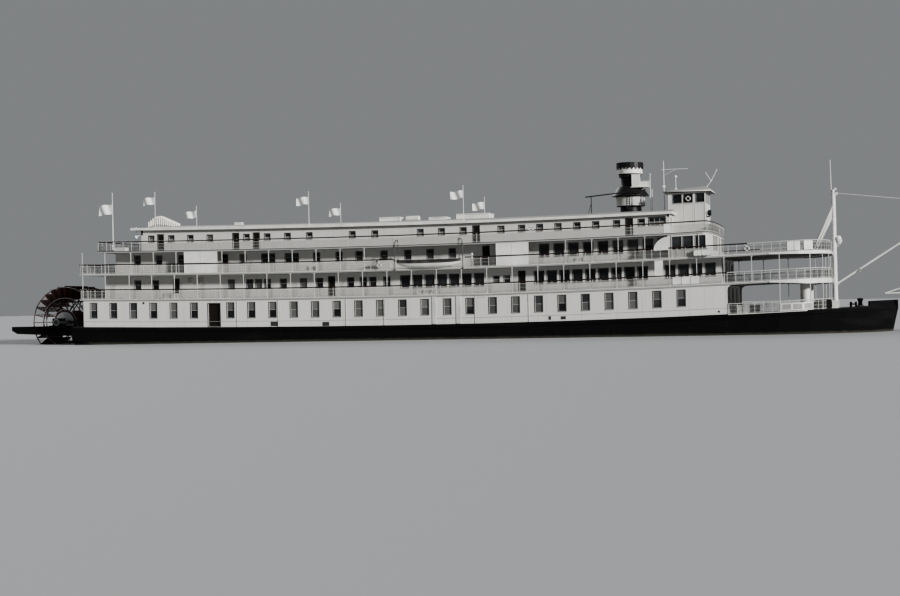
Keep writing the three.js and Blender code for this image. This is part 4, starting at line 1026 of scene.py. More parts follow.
MAIN_ENDS = [(-3.696, 0.64, Kind.DOOR, -1), (-3.696, 0.2, Kind.SASH, -1), (2.480, 0.6, Kind.SASH, 1),
             (2.480, 0.42, Kind.SASH, 1), (2.480, 0.0, Kind.CARGO, 1)]
CABIN_2_ENDS = [(-3.540, 0.48, Kind.WINDOW, -1), (-3.540, 0.16, Kind.DOOR, -1), (2.440, 0.56, Kind.GLAZED, 1),
                (2.440, 0.42, Kind.GLAZED, 1), (2.440, 0.14, Kind.DOOR, 1)]
CABIN_3_ENDS = [(-3.420, 0.48, Kind.WINDOW, -1), (-3.420, 0.16, Kind.DOOR, -1)]
TEXAS_ENDS = [(TEXAS_AFT, 0.3, Kind.TEXAS_DOOR, -1), (TEXAS_AFT, 0.0, Kind.SMALL, -1),
              (TEXAS_FORE, 0.36, Kind.SMALL, 1)]
PILOT_ENDS = [(x, y, Kind.FRONT, way) for x, way in ((1.926, -1), (2.266, 1)) for y in (0.05, 0.15)]


@dataclass
class Railing(Assembly):
    """Rail round one deck: posts, wire netting, rails and columns."""

    name: str
    deck: float
    aft: float
    start: float
    end: float
    replaces: Sequence[str]
    columns: Sequence[float] = ()
    front_columns: Sequence[float] = ()
    head: float = 0.0
    dark_to: float = 9.0
    stern: bool = True
    gap: tuple[float, float] | None = None
    post_pitch: float = 0.074
    net_pitch: float = 0.015
    foot: float = 0.007
    brow: float = 0.072
    nose: Finish = Look.trim

    def corner(self, angle: float, inset: float) -> tuple[float, float]:
        """Starboard point of the rounded front, from its start at no angle to its end at a right angle."""
        return (self.start + (self.end - inset - self.start) * math.sin(angle) ** FRONT_POWER,
                -(HALF_BEAM - inset) * math.cos(angle) ** FRONT_POWER)

    def path(self, inset: float) -> list[tuple[float, float]]:
        """Starboard half of the rail's plan, from the stern's middle to the bow's middle."""
        side = -(HALF_BEAM - inset)
        points = [(x, side) for x in [self.aft + inset, *knots(self.aft, self.start), self.start]]
        if self.stern:
            points.insert(0, (self.aft + inset, 0.0))
        points += [self.corner(math.radians(degrees), inset) for degrees in FRONT_DEGREES]
        return [*points, (points[-1][0], 0.0)]

    def lengths(self, points: Sequence[tuple[float, float]]) -> list[float]:
        """Distance along the path at each of its points."""
        total = [0.0]
        for a, b in zip(points, points[1:]):
            total.append(total[-1] + math.dist(a, b))
        return total

    def wrap(self, piece: Piece, inset: float) -> Piece:
        """Bends a straight run onto the path: X becomes the distance along it, Y stands off inwards."""
        plan = np.array(self.path(inset))
        marks = np.array(self.lengths(self.path(inset)))

        def bend(points: np.ndarray) -> np.ndarray:
            """Points on the path, with the sheer added."""
            leg = np.clip(np.searchsorted(marks, points[:, 0], side="right") - 1, 0, len(marks) - 2)
            way = (plan[leg + 1] - plan[leg]) / (marks[leg + 1] - marks[leg])[:, None]
            ground = plan[leg] + way * (points[:, 0] - marks[leg])[:, None]
            ground += np.stack([-way[:, 1], way[:, 0]], axis=1) * points[:, 1:2]
            return np.column_stack([ground, points[:, 2] + sheers(ground[:, 0])])
        return self.moved(piece, bend)

    def runs(self, inset: float) -> list[tuple[float, float]]:
        """Stretches of the path that carry the rail."""
        plan = self.path(inset)
        total = self.lengths(plan)[-1]
        if self.gap is None:
            return [(0.0, total)]
        turn = HALF_BEAM - inset if self.stern else 0.0
        low, high = (turn + x - self.aft - inset for x in self.gap)
        return [(0.0, low), (high, total)]

    def reach(self, x: float, inset: float) -> float:
        """Distance along the path at which its starboard side passes a station."""
        plan = self.path(inset)
        first = 1 if self.stern else 0
        return float(np.interp(x, [p[0] for p in plan[first:]], self.lengths(plan)[first:]))

    def netting(self) -> Piece:
        """Crossed wires between the foot rail and the top rail."""
        low, high = self.deck + self.foot, self.deck + self.brow
        lean = (self.brow - self.foot) * 0.62
        parts = []
        for a, b in self.runs(RAIL_INSET):
            count = int((b - a - lean) / self.net_pitch)
            for foot, head in ((a, a + lean), (a + lean, a)):
                wire = self.bar((foot, 0, low), (head, 0, high), 0.0011, sides=3)
                parts.append(self.array(wire, count, self.net_pitch))
        return self.mirrored(self.wrap(self.join(parts), RAIL_INSET))

    def posts(self) -> Piece:
        """Square posts between the deck and the handrail."""
        parts = []
        for a, b in self.runs(RAIL_INSET):
            post = self.box((a, -0.0022, self.deck), (a + 0.0044, 0.0022, self.deck + RAIL_HEIGHT - 0.004))
            parts.append(self.array(post, int((b - a - 0.006) / self.post_pitch) + 1, self.post_pitch))
        return self.mirrored(self.wrap(self.join(parts), RAIL_INSET))

    def level_run(self, height: float, inset: float, aft: float, fore: float) -> list[list[Point]]:
        """Points of a level line along the path, cut to a stretch of the ship and the gap."""
        gap = self.gap or (9.0, 9.0)
        plan = [p for p in self.path(inset) if aft - 1e-6 <= p[0] <= fore + 1e-6]
        side = -(HALF_BEAM - inset)
        for x in (*gap, fore):
            if plan[0][0] < x < min(plan[-1][0], self.start):
                place = next(i for i, p in enumerate(plan) if p[0] > x)
                plan.insert(place, (x, side))
        if fore < self.start:
            plan.append((fore, side))
        lines = [[p for p in plan if p[0] <= gap[0]], [p for p in plan if p[0] >= gap[1]]]
        return [[(x, y, self.deck + height + sheer(x)) for x, y in line] for line in lines if len(line) > 1]

    def rails(self) -> None:
        """Foot rail, middle rails and a handrail, pale on the foremost stretch and varnished aft of it."""
        top = RAIL_HEIGHT - 0.003
        pale = []
        for height, radius in ((self.foot, 0.0020), (self.brow, 0.0018), (0.040, 0.0010)):
            pale += [self.tube(line, radius) for line in self.level_run(height, RAIL_INSET, -9, 9)]
        if self.dark_to < 9:
            start = max(self.dark_to, self.aft + RAIL_INSET)
            side = -(HALF_BEAM - RAIL_INSET)
            points = [(start, side), *[p for p in self.path(RAIL_INSET) if p[0] > start]]
            pale.append(self.tube([(x, y, self.deck + top + sheer(x)) for x, y in points], 0.0042, fine=2))
        self.finish(self.both(pale), f"{self.name}_bars", Look.rail, "white_rail")
        if self.dark_to > self.aft:
            lines = self.level_run(top, RAIL_INSET, -9, min(self.dark_to, 9))
            dark = [self.tube(line, 0.0056, fine=2) for line in lines]
            self.finish(self.both(dark), f"{self.name}_handrail", Look.varnish, "dark_wood")

    def column(self) -> Piece:
        """One column up to the deck above, with a knee on each side of its head."""
        top = self.head - self.deck
        shaft = self.box((-0.0029, -0.0029, 0), (0.0029, 0.0029, top), 0.0006)
        knees = [self.bar((0, 0, top - 0.012), (x, 0, top - 0.001), 0.0018, sides=5) for x in (-0.010, 0.010)]
        foot = self.box((-0.006, -0.0042, 0), (0.006, 0.0042, 0.012), 0.001)
        return self.join([shaft, foot, *knees])

    def build(self) -> None:
        """Makes the whole rail."""
        self.finish(self.netting(), f"{self.name}_netting", Look.netting, "white_rail", replaces=self.replaces)
        self.finish(self.posts(), f"{self.name}_posts", Look.rail, "white_rail")
        self.rails()
        places = [spot((x, -RAIL_PLANE, self.deck + sheer(x))) for x in self.columns]
        for angle in map(math.radians, self.front_columns):
            x, y = self.corner(angle, RAIL_INSET)
            places.append(spot((x, y, self.deck + sheer(x)), angle))
        if places:
            columns = self.mirrored(self.stamp(self.column(), places))
            self.finish(columns, f"{self.name}_columns", Look.grey_white, "white_rail")
        nosing = [(x, y, self.deck - 0.004 + sheer(x)) for x, y in self.path(-0.0005)]
        edge = self.mirrored(self.tube(nosing, 0.0032, fine=2))
        self.finish(edge, f"{self.name}_deck_edge", self.nose, "white_rail")


@dataclass
class TexasRoof(Assembly):
    """Cambered roof of the upper house, its aft canopy and what stands on it."""

    half: float = 0.540
    edge: float = 0.014
    camber: float = 0.044
    canopy_aft: float = -3.340
    crown_aft: float = -2.960
    notch_aft: float = 1.924
    fore: float = 1.989
    notch_half: float = 0.222
    board: float = 0.004
    chests: Sequence[tuple[float, float, float, float]] = (
        (-0.914, -0.709, 0.060, 0.042), (-0.404, -0.233, 0.090, 0.028), (-0.123, 0.196, 0.110, 0.048),
        (-2.450, -2.380, 0.030, 0.026))
    drum: tuple[float, float, float] = (-0.668, -0.516, 0.026)
    whistles_y: float = -0.160
    whistles: Sequence[tuple[float, float]] = (
        (-3.332, 0.075), (-3.250, 0.136), (-3.180, 0.142), (-2.990, 0.062))

    def crown(self, y: float | np.ndarray) -> float | np.ndarray:
        """Height of the crown at a distance from the centre line, without the sheer."""
        return EAVE + self.edge + self.camber * (1 - (y / self.half) ** 2)

    def ridge(self, x: float) -> float:
        """Height of the crown's ridge at a station, with the sheer."""
        return eave(x) + self.edge + self.camber + sheer(x)

    def shell(self) -> Piece:
        """Crown and canopy, flat underneath, with the notch for the pilothouse."""
        columns = sorted([*np.linspace(-self.half, self.half, 19), -self.notch_half, self.notch_half])
        top = self.grid([self.crown_aft, self.notch_aft, self.fore], columns)
        self.on_faces(
            top, lambda face: face.center.x > self.notch_aft and abs(face.center.y) < self.notch_half,
            lambda: bpy.ops.mesh.delete(type="FACE"))
        self.moved(top, lambda p: np.column_stack([p[:, 0], p[:, 1], self.crown(p[:, 1])]))
        self.deepen(top, EAVE)
        top_corner = (self.crown_aft + 0.02, self.half, EAVE + self.edge)
        canopy = self.box((self.canopy_aft, -self.half, EAVE), top_corner)
        shell = self.cut_at(self.join([top, canopy]), knots(self.canopy_aft, self.fore))
        return self.smooth(self.roofed(shell), 25)

    def heads(self) -> Piece:
        """Boards that carry the walls of the upper house up to the roof."""
        out, low, high = TEXAS_HALF + 0.0006, EAVE - 0.010, EAVE + 0.001
        parts = [self.box((TEXAS_AFT, -out, low), (TEXAS_FORE, 0.018 - out, high)),
                 self.box((TEXAS_AFT - 0.0006, -out, low), (TEXAS_AFT + 0.018, 0, high)),
                 self.box((TEXAS_FORE - 0.018, -out, low), (TEXAS_FORE + 0.0006, -self.notch_half, high))]
        heads = self.cut_at(self.join(parts), knots(TEXAS_AFT, TEXAS_FORE))
        return self.roofed(self.mirrored(heads))

    def boards(self) -> Piece:
        """White fascia boards round the eaves."""
        low, high = EAVE - 0.006, EAVE + self.edge + 0.003
        out = self.half + self.board
        parts = [self.box((self.canopy_aft, -out, low), (self.fore + self.board, 0.001 - self.half, high)),
                 self.box((self.canopy_aft - self.board, -out, low), (self.canopy_aft, 0.001, high)),
                 self.box((self.fore, -self.half, low), (self.fore + self.board, -self.notch_half, high))]
        boards = self.cut_at(self.join(parts), knots(self.canopy_aft, self.fore))
        return self.roofed(self.mirrored(boards))

    def lockers(self) -> Piece:
        """Lidded chests along the crown."""
        parts = []
        for aft, fore, half, height in self.chests:
            base = self.ridge((aft + fore) / 2)
            top = base + height
            body = self.box((aft, -half, base - 0.012), (fore, half, top - 0.007))
            lid = self.box((aft - 0.004, -half - 0.004, top - 0.007), (fore + 0.004, half + 0.004, top), 0.0015)
            parts += [self.sunk(body, 0.007, 0.002), lid]
        return self.join(parts)

    def tank(self) -> Piece:
        """Drum on its side with domed ends and two hoops."""
        aft, fore, radius = self.drum
        run = fore - aft
        level = self.ridge(aft) + radius - 0.002
        profile = [(0, 0), (radius * 0.6, 0.003), (radius, 0.014), (radius, run - 0.014),
                   (radius * 0.6, run - 0.003), (0, run)]
        shell = self.lathe(profile, (0, 0, 0), 20)
        shell.data.transform(spot((aft, 0, level), math.pi / 2, "Y"))
        hoops = [self.hoop((x, 0, level), radius, 0.002, (0, math.pi / 2, 0))
                 for x in (aft + 0.03, fore - 0.03)]
        return self.join([shell, *hoops])

    def calliope(self) -> Piece:
        """Two rows of steam whistles that rise and fall along their pipe."""
        base = EAVE + self.edge
        xs, tops = zip(*self.whistles)
        parts = [self.box((xs[0], -0.022, base), (xs[-1], 0.022, base + 0.010), 0.002)]
        for x in np.linspace(xs[0] + 0.010, xs[-1] - 0.010, 15):
            top = base - 0.006 + float(np.interp(x, xs, tops))
            waist = base + 0.4 * (top - base)
            for y in (-0.014, 0.014):
                parts += [self.post(x, y, base, waist, 0.0022, sides=6),
                          self.post(x, y, waist, top, 0.0076, sides=10),
                          self.post(x, y, top, top + 0.006, 0.0045, 0.0012, sides=8)]
        whistles = self.smooth(self.join(parts))
        whistles.data.transform(spot((0, self.whistles_y, 0)))
        return self.roofed(whistles)

    def zigzag(self) -> Piece:
        """Toothed board along each side of the whistles."""
        base = EAVE + self.edge
        aft, fore = -3.334, -2.966
        line = [(x, base + (0.024 if i % 2 else 0.007)) for i, x in enumerate(np.linspace(aft, fore, 25))]
        board = self.mirrored(self.plate([(aft, base), *line, (fore, base)], -0.034, 0.003))
        board.data.transform(spot((0, self.whistles_y, 0)))
        return self.roofed(board)

    def build(self) -> None:
        """Makes the roof and its fittings."""
        self.finish(self.shell(), "texas_roof_canvas", Look.roof, "roof", replaces=["texas_roof"])
        self.finish(self.boards(), "texas_roof_fascia", Look.trim, "white_house")
        self.finish(self.heads(), "texas_wall_heads", Look.boards, "white_house")
        self.finish(self.lockers(), "roof_lockers", Look.trim, "white_house")
        self.finish(self.tank(), "roof_drum", Look.trim, "white_house")
        self.finish(self.calliope(), "calliope_whistles", Look.brass, "iron")
        self.finish(self.zigzag(), "calliope_trim", Look.trim, "white_house")


@dataclass
class PilotRoof(Assembly):
    """Low hipped roof of the pilothouse, with its visor and bright edge."""

    half: float = 0.262
    crown: float = 0.1572
    rows: Sequence[tuple[float, float]] = ((1.882, 0.002), (1.942, 0.010), (2.270, 0.036), (2.318, 0.0))

    def build(self) -> None:
        """Makes the hipped top and the lip round its eaves."""
        level = PILOT_EAVE + sheer(PILOT_MIDDLE)
        stations, rises = zip(*self.rows)
        top = self.grid(stations, [-self.half, -self.crown, 0, self.crown, self.half])

        def shape(points: np.ndarray) -> np.ndarray:
            """Points raised to the hipped top."""
            rise = np.interp(points[:, 0], stations, rises) + 0.004
            points[:, 2] = level + 0.014 + np.where(np.abs(points[:, 1]) > self.crown + 0.001, 0, rise)
            return points
        self.deepen(self.moved(top, shape), level + 0.0045)
        self.finish(self.bevel(top, 0.0008), "pilothouse_roof_canvas", Look.roof, "roof",
                    replaces=["pilothouse_roof"])
        aft, fore, z = stations[0], stations[-1], level + 0.0095
        corners = [(aft, -self.half, z), (fore, -self.half, z), (fore, self.half, z), (aft, self.half, z)]
        lip = self.tube(corners, 0.0052, closed=True)
        self.finish(lip, "pilothouse_roof_lip", Look.trim, "white_house")


@dataclass
class Funnel(Assembly):
    """Funnel with two pale bands, a flared skirt and a crown of petals."""

    x: float = 1.547
    foot: float = 1.368
    petals: int = 20
    crown_radius: float = 0.1235
    steps: int = 48

    def band(self, radius: float, low: float, high: float) -> Piece:
        """Sheet band round the funnel with a bead along each edge."""
        profile = [(radius - 0.006, low), (radius, low), (radius, high), (radius - 0.006, high)]
        beads = [self.hoop((self.x, 0, z), radius, 0.0024, (0, 0, 0), self.steps) for z in (low, high)]
        return self.join([self.lathe(profile, (self.x, 0, 0), self.steps), *beads])

    def body(self) -> Piece:
        """Black casing from the roof to the crown, open at its top."""
        profile = [
            (0, self.foot), (0.101, self.foot), (0.101, self.foot + 0.006), (0.096, self.foot + 0.008),
            (0.096, 1.425), (0.130, 1.427), (0.130, 1.515), (0.122, 1.520), (0.175, 1.523), (0.175, 1.527),
            (0.146, 1.568), (0.118, 1.610), (0.092, 1.617), (0.085, 1.630), (0.085, 1.720), (0.092, 1.727),
            (0.1125, 1.731), (0.1125, 1.795), (0.122, 1.798), (0.122, 1.838), (0.104, 1.838), (0.104, 1.700),
            (0, 1.700)]
        return self.lathe(profile, (self.x, 0, 0), self.steps)

    def crown(self) -> Piece:
        """Ring of pointed petals whose tips hang over the upper band."""
        half = math.pi * self.crown_radius / self.petals
        outline = [(-half, 1.834), (-half * 0.95, 1.795), (0, 1.770), (half * 0.95, 1.795), (half, 1.834),
                   (0, 1.839)]
        petal = self.plate(outline, -self.crown_radius - 0.002, 0.003)
        turns = [spot((self.x, 0, 0), 2 * math.pi * i / self.petals) for i in range(self.petals)]
        return self.stamp(petal, turns)

    def build(self) -> None:
        """Makes the funnel."""
        self.finish(self.body(), "funnel_casing", Look.funnel, "funnel_black", replaces=["funnel"])
        self.finish(self.band(0.136, 1.434, 1.512), "funnel_low_band", Look.rail, "white_house")
        self.finish(self.band(0.1165, 1.735, 1.788), "funnel_high_band", Look.trim, "white_house")
        self.finish(self.crown(), "funnel_petals", Look.funnel, "funnel_black")


@dataclass
class Lifeboats(Assembly):
    """Covered lifeboats in their davits, at the edge of deck 3."""

    aft: float = -0.502
    fore: float = 0.112
    y: float = -0.888
    half: float = 0.060
    keel: float = 0.880
    depth: float = 0.066
    posts: Sequence[tuple[float, float]] = ((-0.518, -0.486), (0.128, 0.096))

    def station(self, share: float | np.ndarray) -> float | np.ndarray:
        """Place along the ship at a share of the boat's half length."""
        return (self.aft + self.fore) / 2 + share * ((self.fore - self.aft) / 2)

    def width(self, share: float | np.ndarray, inset: float = 0.0) -> float | np.ndarray:
        """Half breadth at a share of the boat's half length."""
        return (self.half - inset) * (1 - abs(share) ** 2.3) ** 0.75

    def gunwale(self, share: float | np.ndarray) -> float | np.ndarray:
        """Height of the gunwale at a share of the boat's half length."""
        return self.keel + self.depth + 0.012 * abs(share) ** 4

    def shape(self, lower: bool) -> Piece:
        """Half shell of a boat, the hull below the gunwale or the cover above it."""
        bpy.ops.mesh.primitive_uv_sphere_add(
            segments=24, ring_count=24, radius=1, rotation=(0, math.pi / 2, 0))
        piece = self.settle(bpy.context.object)

        def form(points: np.ndarray) -> np.ndarray:
            """Points of the ball moved to the lines of a double-ended boat."""
            share = np.clip(points[:, 0], -1, 1)
            ring = np.hypot(points[:, 1], points[:, 2]) + 1e-9
            across, up = points[:, 1] / ring, points[:, 2] / ring
            width, gunwale = self.width(share), self.gunwale(share)
            if lower:
                side = np.sign(across) * np.abs(across) ** 0.75
                height = gunwale + self.depth * (1 - 0.55 * np.abs(share) ** 4) * np.clip(up, -1, 0)
            else:
                side = np.sign(across) * np.abs(across) ** np.where(up < 0, 0.2, 0.75)
                height = (gunwale + 0.010 * np.clip(up, 0, 1) * (0.25 + width / self.half)
                          - 0.020 * np.clip(-2 * up, 0, 1))
                width = width + 0.0016
            return np.column_stack([self.station(share), self.y + side * width, height])
        return self.smooth(self.moved(piece, form), 50)

    def rub_rail(self, inset: float, drop: float, radius: float, steps: int = 48) -> Piece:
        """Rail round the boat below its gunwale."""
        points = []
        for i in range(steps):
            angle = 2 * math.pi * i / steps
            share = math.cos(angle)
            y = self.y + math.copysign(self.width(share, inset), math.sin(angle))
            points.append((self.station(share), y, self.gunwale(share) - drop))
        return self.tube(points, radius, closed=True)

    def davits(self) -> Piece:
        """Posts with bent arms, falls and blocks."""
        parts = []
        top, y = DECK_4 + 0.034, self.y
        for x, boat_x in self.posts:
            foot = DECK_3 + sheer(x) - 0.014
            hook = DECK_3 + sheer(x) + 0.084
            bend = [(x, y, foot), (x, y, top - 0.030), (x + (boat_x - x) * 0.12, y, top - 0.010),
                    (x + (boat_x - x) * 0.35, y, top + 0.004), (boat_x, y, top + 0.012)]
            parts.append(self.tube(bend, 0.0044, fine=2))
            parts.append(self.box((x - 0.007, y - 0.005, foot), (x + 0.007, y + 0.007, foot + 0.012), 0.001))
            parts += [self.post(boat_x + d, y, top + 0.008, hook, 0.0012, sides=5) for d in (-0.003, 0.003)]
            parts += [self.block(boat_x, y, 0.005, 0.004, z, z + 0.013, 0.0015)
                      for z in (top - 0.010, hook - 0.004)]
        return self.both(parts)

    def build(self) -> None:
        """Makes both boats and their davits."""
        nodes = ["lifeboat_starboard", "lifeboat_port"]
        hulls, covers = (self.mirrored(self.shape(lower)) for lower in (True, False))
        self.finish(hulls, "lifeboat_hulls", Look.trim, "white_rail", replaces=nodes)
        self.finish(covers, "lifeboat_covers", Look.tarpaulin, "white_rail")
        rails = self.both([self.rub_rail(-0.001, 0.002, 0.0034), self.rub_rail(-0.0012, 0.020, 0.0018)])
        self.finish(rails, "lifeboat_rub_rails", Look.varnish, "dark_wood")
        self.finish(self.davits(), "lifeboat_davits", Look.shade, "white_rail", replaces=nodes)


@dataclass
class Flags(Assembly):
    """Flagpoles along the roof and at the stern, with their flags."""

    y: float = -0.498
    poles_at: Sequence[tuple[str, int, float, float]] = (
        ("starboard", 1, -3.096, 1.690), ("starboard", 1, -1.488, 1.651), ("starboard", 1, 0.046, 1.653),
        ("port", -1, -3.098, 1.606), ("port", -1, -1.503, 1.598), ("port", -1, 0.012, 1.604))
    size: tuple[float, float] = (0.128, 0.070)
    staff: Point = (-3.505, -0.600, 1.680)
    staff_size: tuple[float, float] = (0.150, 0.095)

    def cloth(self, hoist: Point, size: tuple[float, float], phase: float) -> Piece:
        """Flag that streams aft from its hoist in waves, without any stretch.

        Args:
            hoist: Upper corner at the pole.
            size: Length and drop.
            phase: Where its waves start.

        Returns:
            The thin sheet.
        """
        length, drop = size
        sheet = self.grid(np.linspace(0, length, 37), np.linspace(0, drop, 13))

        def stream(points: np.ndarray) -> np.ndarray:
            """Points carried along the waves, with the fly end a little lower."""
            fine = np.linspace(0, length, 400)
            step = fine[1]
            out = np.empty_like(points)
            for i, (run, fall) in enumerate(points[:, :2]):
                lean = 0.55 * np.sin(fine / length * 8 + phase + fall * 22) * np.clip(fine / length * 4, 0, 1)
                part = fine <= run + 1e-9
                drift = np.cos(lean[part]).sum() * step, np.sin(lean[part]).sum() * step
                sag = 0.10 * run + 0.004 * math.sin(run / length * 7 + phase)
                out[i] = hoist[0] - drift[0], hoist[1] + drift[1], hoist[2] - fall - sag
            return out
        self.moved(sheet, stream)
        return self.smooth(self.modify(sheet, "SOLIDIFY", thickness=0.0008, offset=0), 60)

    def poles(self) -> Piece:
        """Kerb strips with the tapered poles, each with a ball and a cleat."""
        seat = EAVE + 0.020
        aft, fore = -3.122, 0.060
        kerb = self.box((aft, self.y - 0.003, seat), (fore, self.y + 0.003, seat + 0.006), 0.0008)
        parts = [self.mirrored(self.roofed(self.cut_at(kerb, knots(aft, fore))))]
        for _, way, x, top in self.poles_at:
            y, foot, head = way * self.y, eave(x) + 0.016 + sheer(x), top + sheer(x)
            parts += [self.post(x, y, foot, head - 0.004, 0.0034, 0.0024),
                      self.ball((x, y, head - 0.003), 0.004),
                      self.block(x, y, 0.005, 0.005, foot, foot + 0.016, 0.001)]
        return self.join(parts)

    def stern(self) -> Piece:
        """Stern staff with its step on deck 4."""
        x, y, top = self.staff
        lift = sheer(x)
        return self.join([
            self.post(x, y, DECK_4 + lift, top + lift - 0.006, 0.005, 0.0028, sides=10),
            self.ball((x, y, top + lift - 0.005), 0.0055),
            self.block(x, y, 0.010, 0.010, DECK_4 + lift, DECK_4 + lift + 0.026, 0.002)])

    def build(self) -> None:
        """Makes the poles and hangs a flag on each."""
        lines = ["flag_line_starboard", "flag_line_port"]
        self.finish(self.poles(), "roof_flagpoles", Look.trim, "flag_cloth", replaces=lines)
        self.finish(self.stern(), "stern_flagstaff", Look.trim, "flag_cloth", replaces=["stern_staff"])
        for i, (side, way, x, top) in enumerate(self.poles_at):
            flag = self.cloth((x - 0.0034, way * self.y, top - 0.050 + sheer(x)), self.size, 1.7 * i + 0.4)
            self.finish(flag, f"flag_{side}_{i % 3 + 1}", Look.cloth, "flag_cloth",
                        replaces=[f"flag_line_{side}"])
        x, y, top = self.staff
        flag = self.cloth((x - 0.005, y, top - 0.110 + sheer(x)), self.staff_size, 0.6)
        self.finish(flag, "stern_flag", Look.cloth, "flag_cloth", replaces=["stern_staff"])


@dataclass
class WheelTrim(Assembly):
    """Pale rings, hub plates and bolts on the stern wheel."""

    x: float = -4.240
    z: float = 0.442
    face: float = 0.2555
    crank: float = 0.4295
    arms: int = 28

    def rings(self) -> Piece:
        """Thin rings at the rim, the middle and the hub of the starboard frame, and one at the crank."""
        hoops = ((self.face, 0.356, 0.0026, 72, 6), (self.face, 0.246, 0.0026, 72, 6),
                 (self.face, 0.130, 0.0022, 72, 6), (self.crank, 0.030, 0.0042, 28, 8))
        return self.join([self.hoop((self.x, -out, self.z), radius, thick, steps=steps, sides=sides)
                          for out, radius, thick, steps, sides in hoops])

    def bolts(self) -> Piece:
        """Bolt heads where the arms meet the rings."""
        bolt = self.bar((0, 0, 0), (0, -0.004, 0), 0.0034, 0.0026, sides=6)
        places = []
        for i in range(self.arms):
            angle = 2 * math.pi * i / self.arms
            for radius in (0.156, 0.2450) if i % 2 else (0.205, 0.3555):
                x, z = self.x + radius * math.cos(angle), self.z + radius * math.sin(angle)
                places.append((x, -self.face, z))
        return self.stamp(bolt, places)

    def hub(self) -> Piece:
        """Pale hub plate with a raised boss."""
        profile = [(0.024, 0), (0.104, 0), (0.104, 0.003), (0.060, 0.005), (0.046, 0.012), (0.024, 0.012)]
        plate = self.lathe(profile, (0, 0, 0), 36)
        plate.data.transform(spot((self.x, 0.003 - self.face, self.z), math.pi / 2, "X"))
        return plate

    def build(self) -> None:
        """Makes the trim on both sides; it turns with the wheel."""
        for make, name in ((self.rings, "rings"), (self.bolts, "bolts"), (self.hub, "hub_plates")):
            self.finish(self.mirrored(make()), f"wheel_{name}", Look.galvanized, "iron", "paddle_wheel")


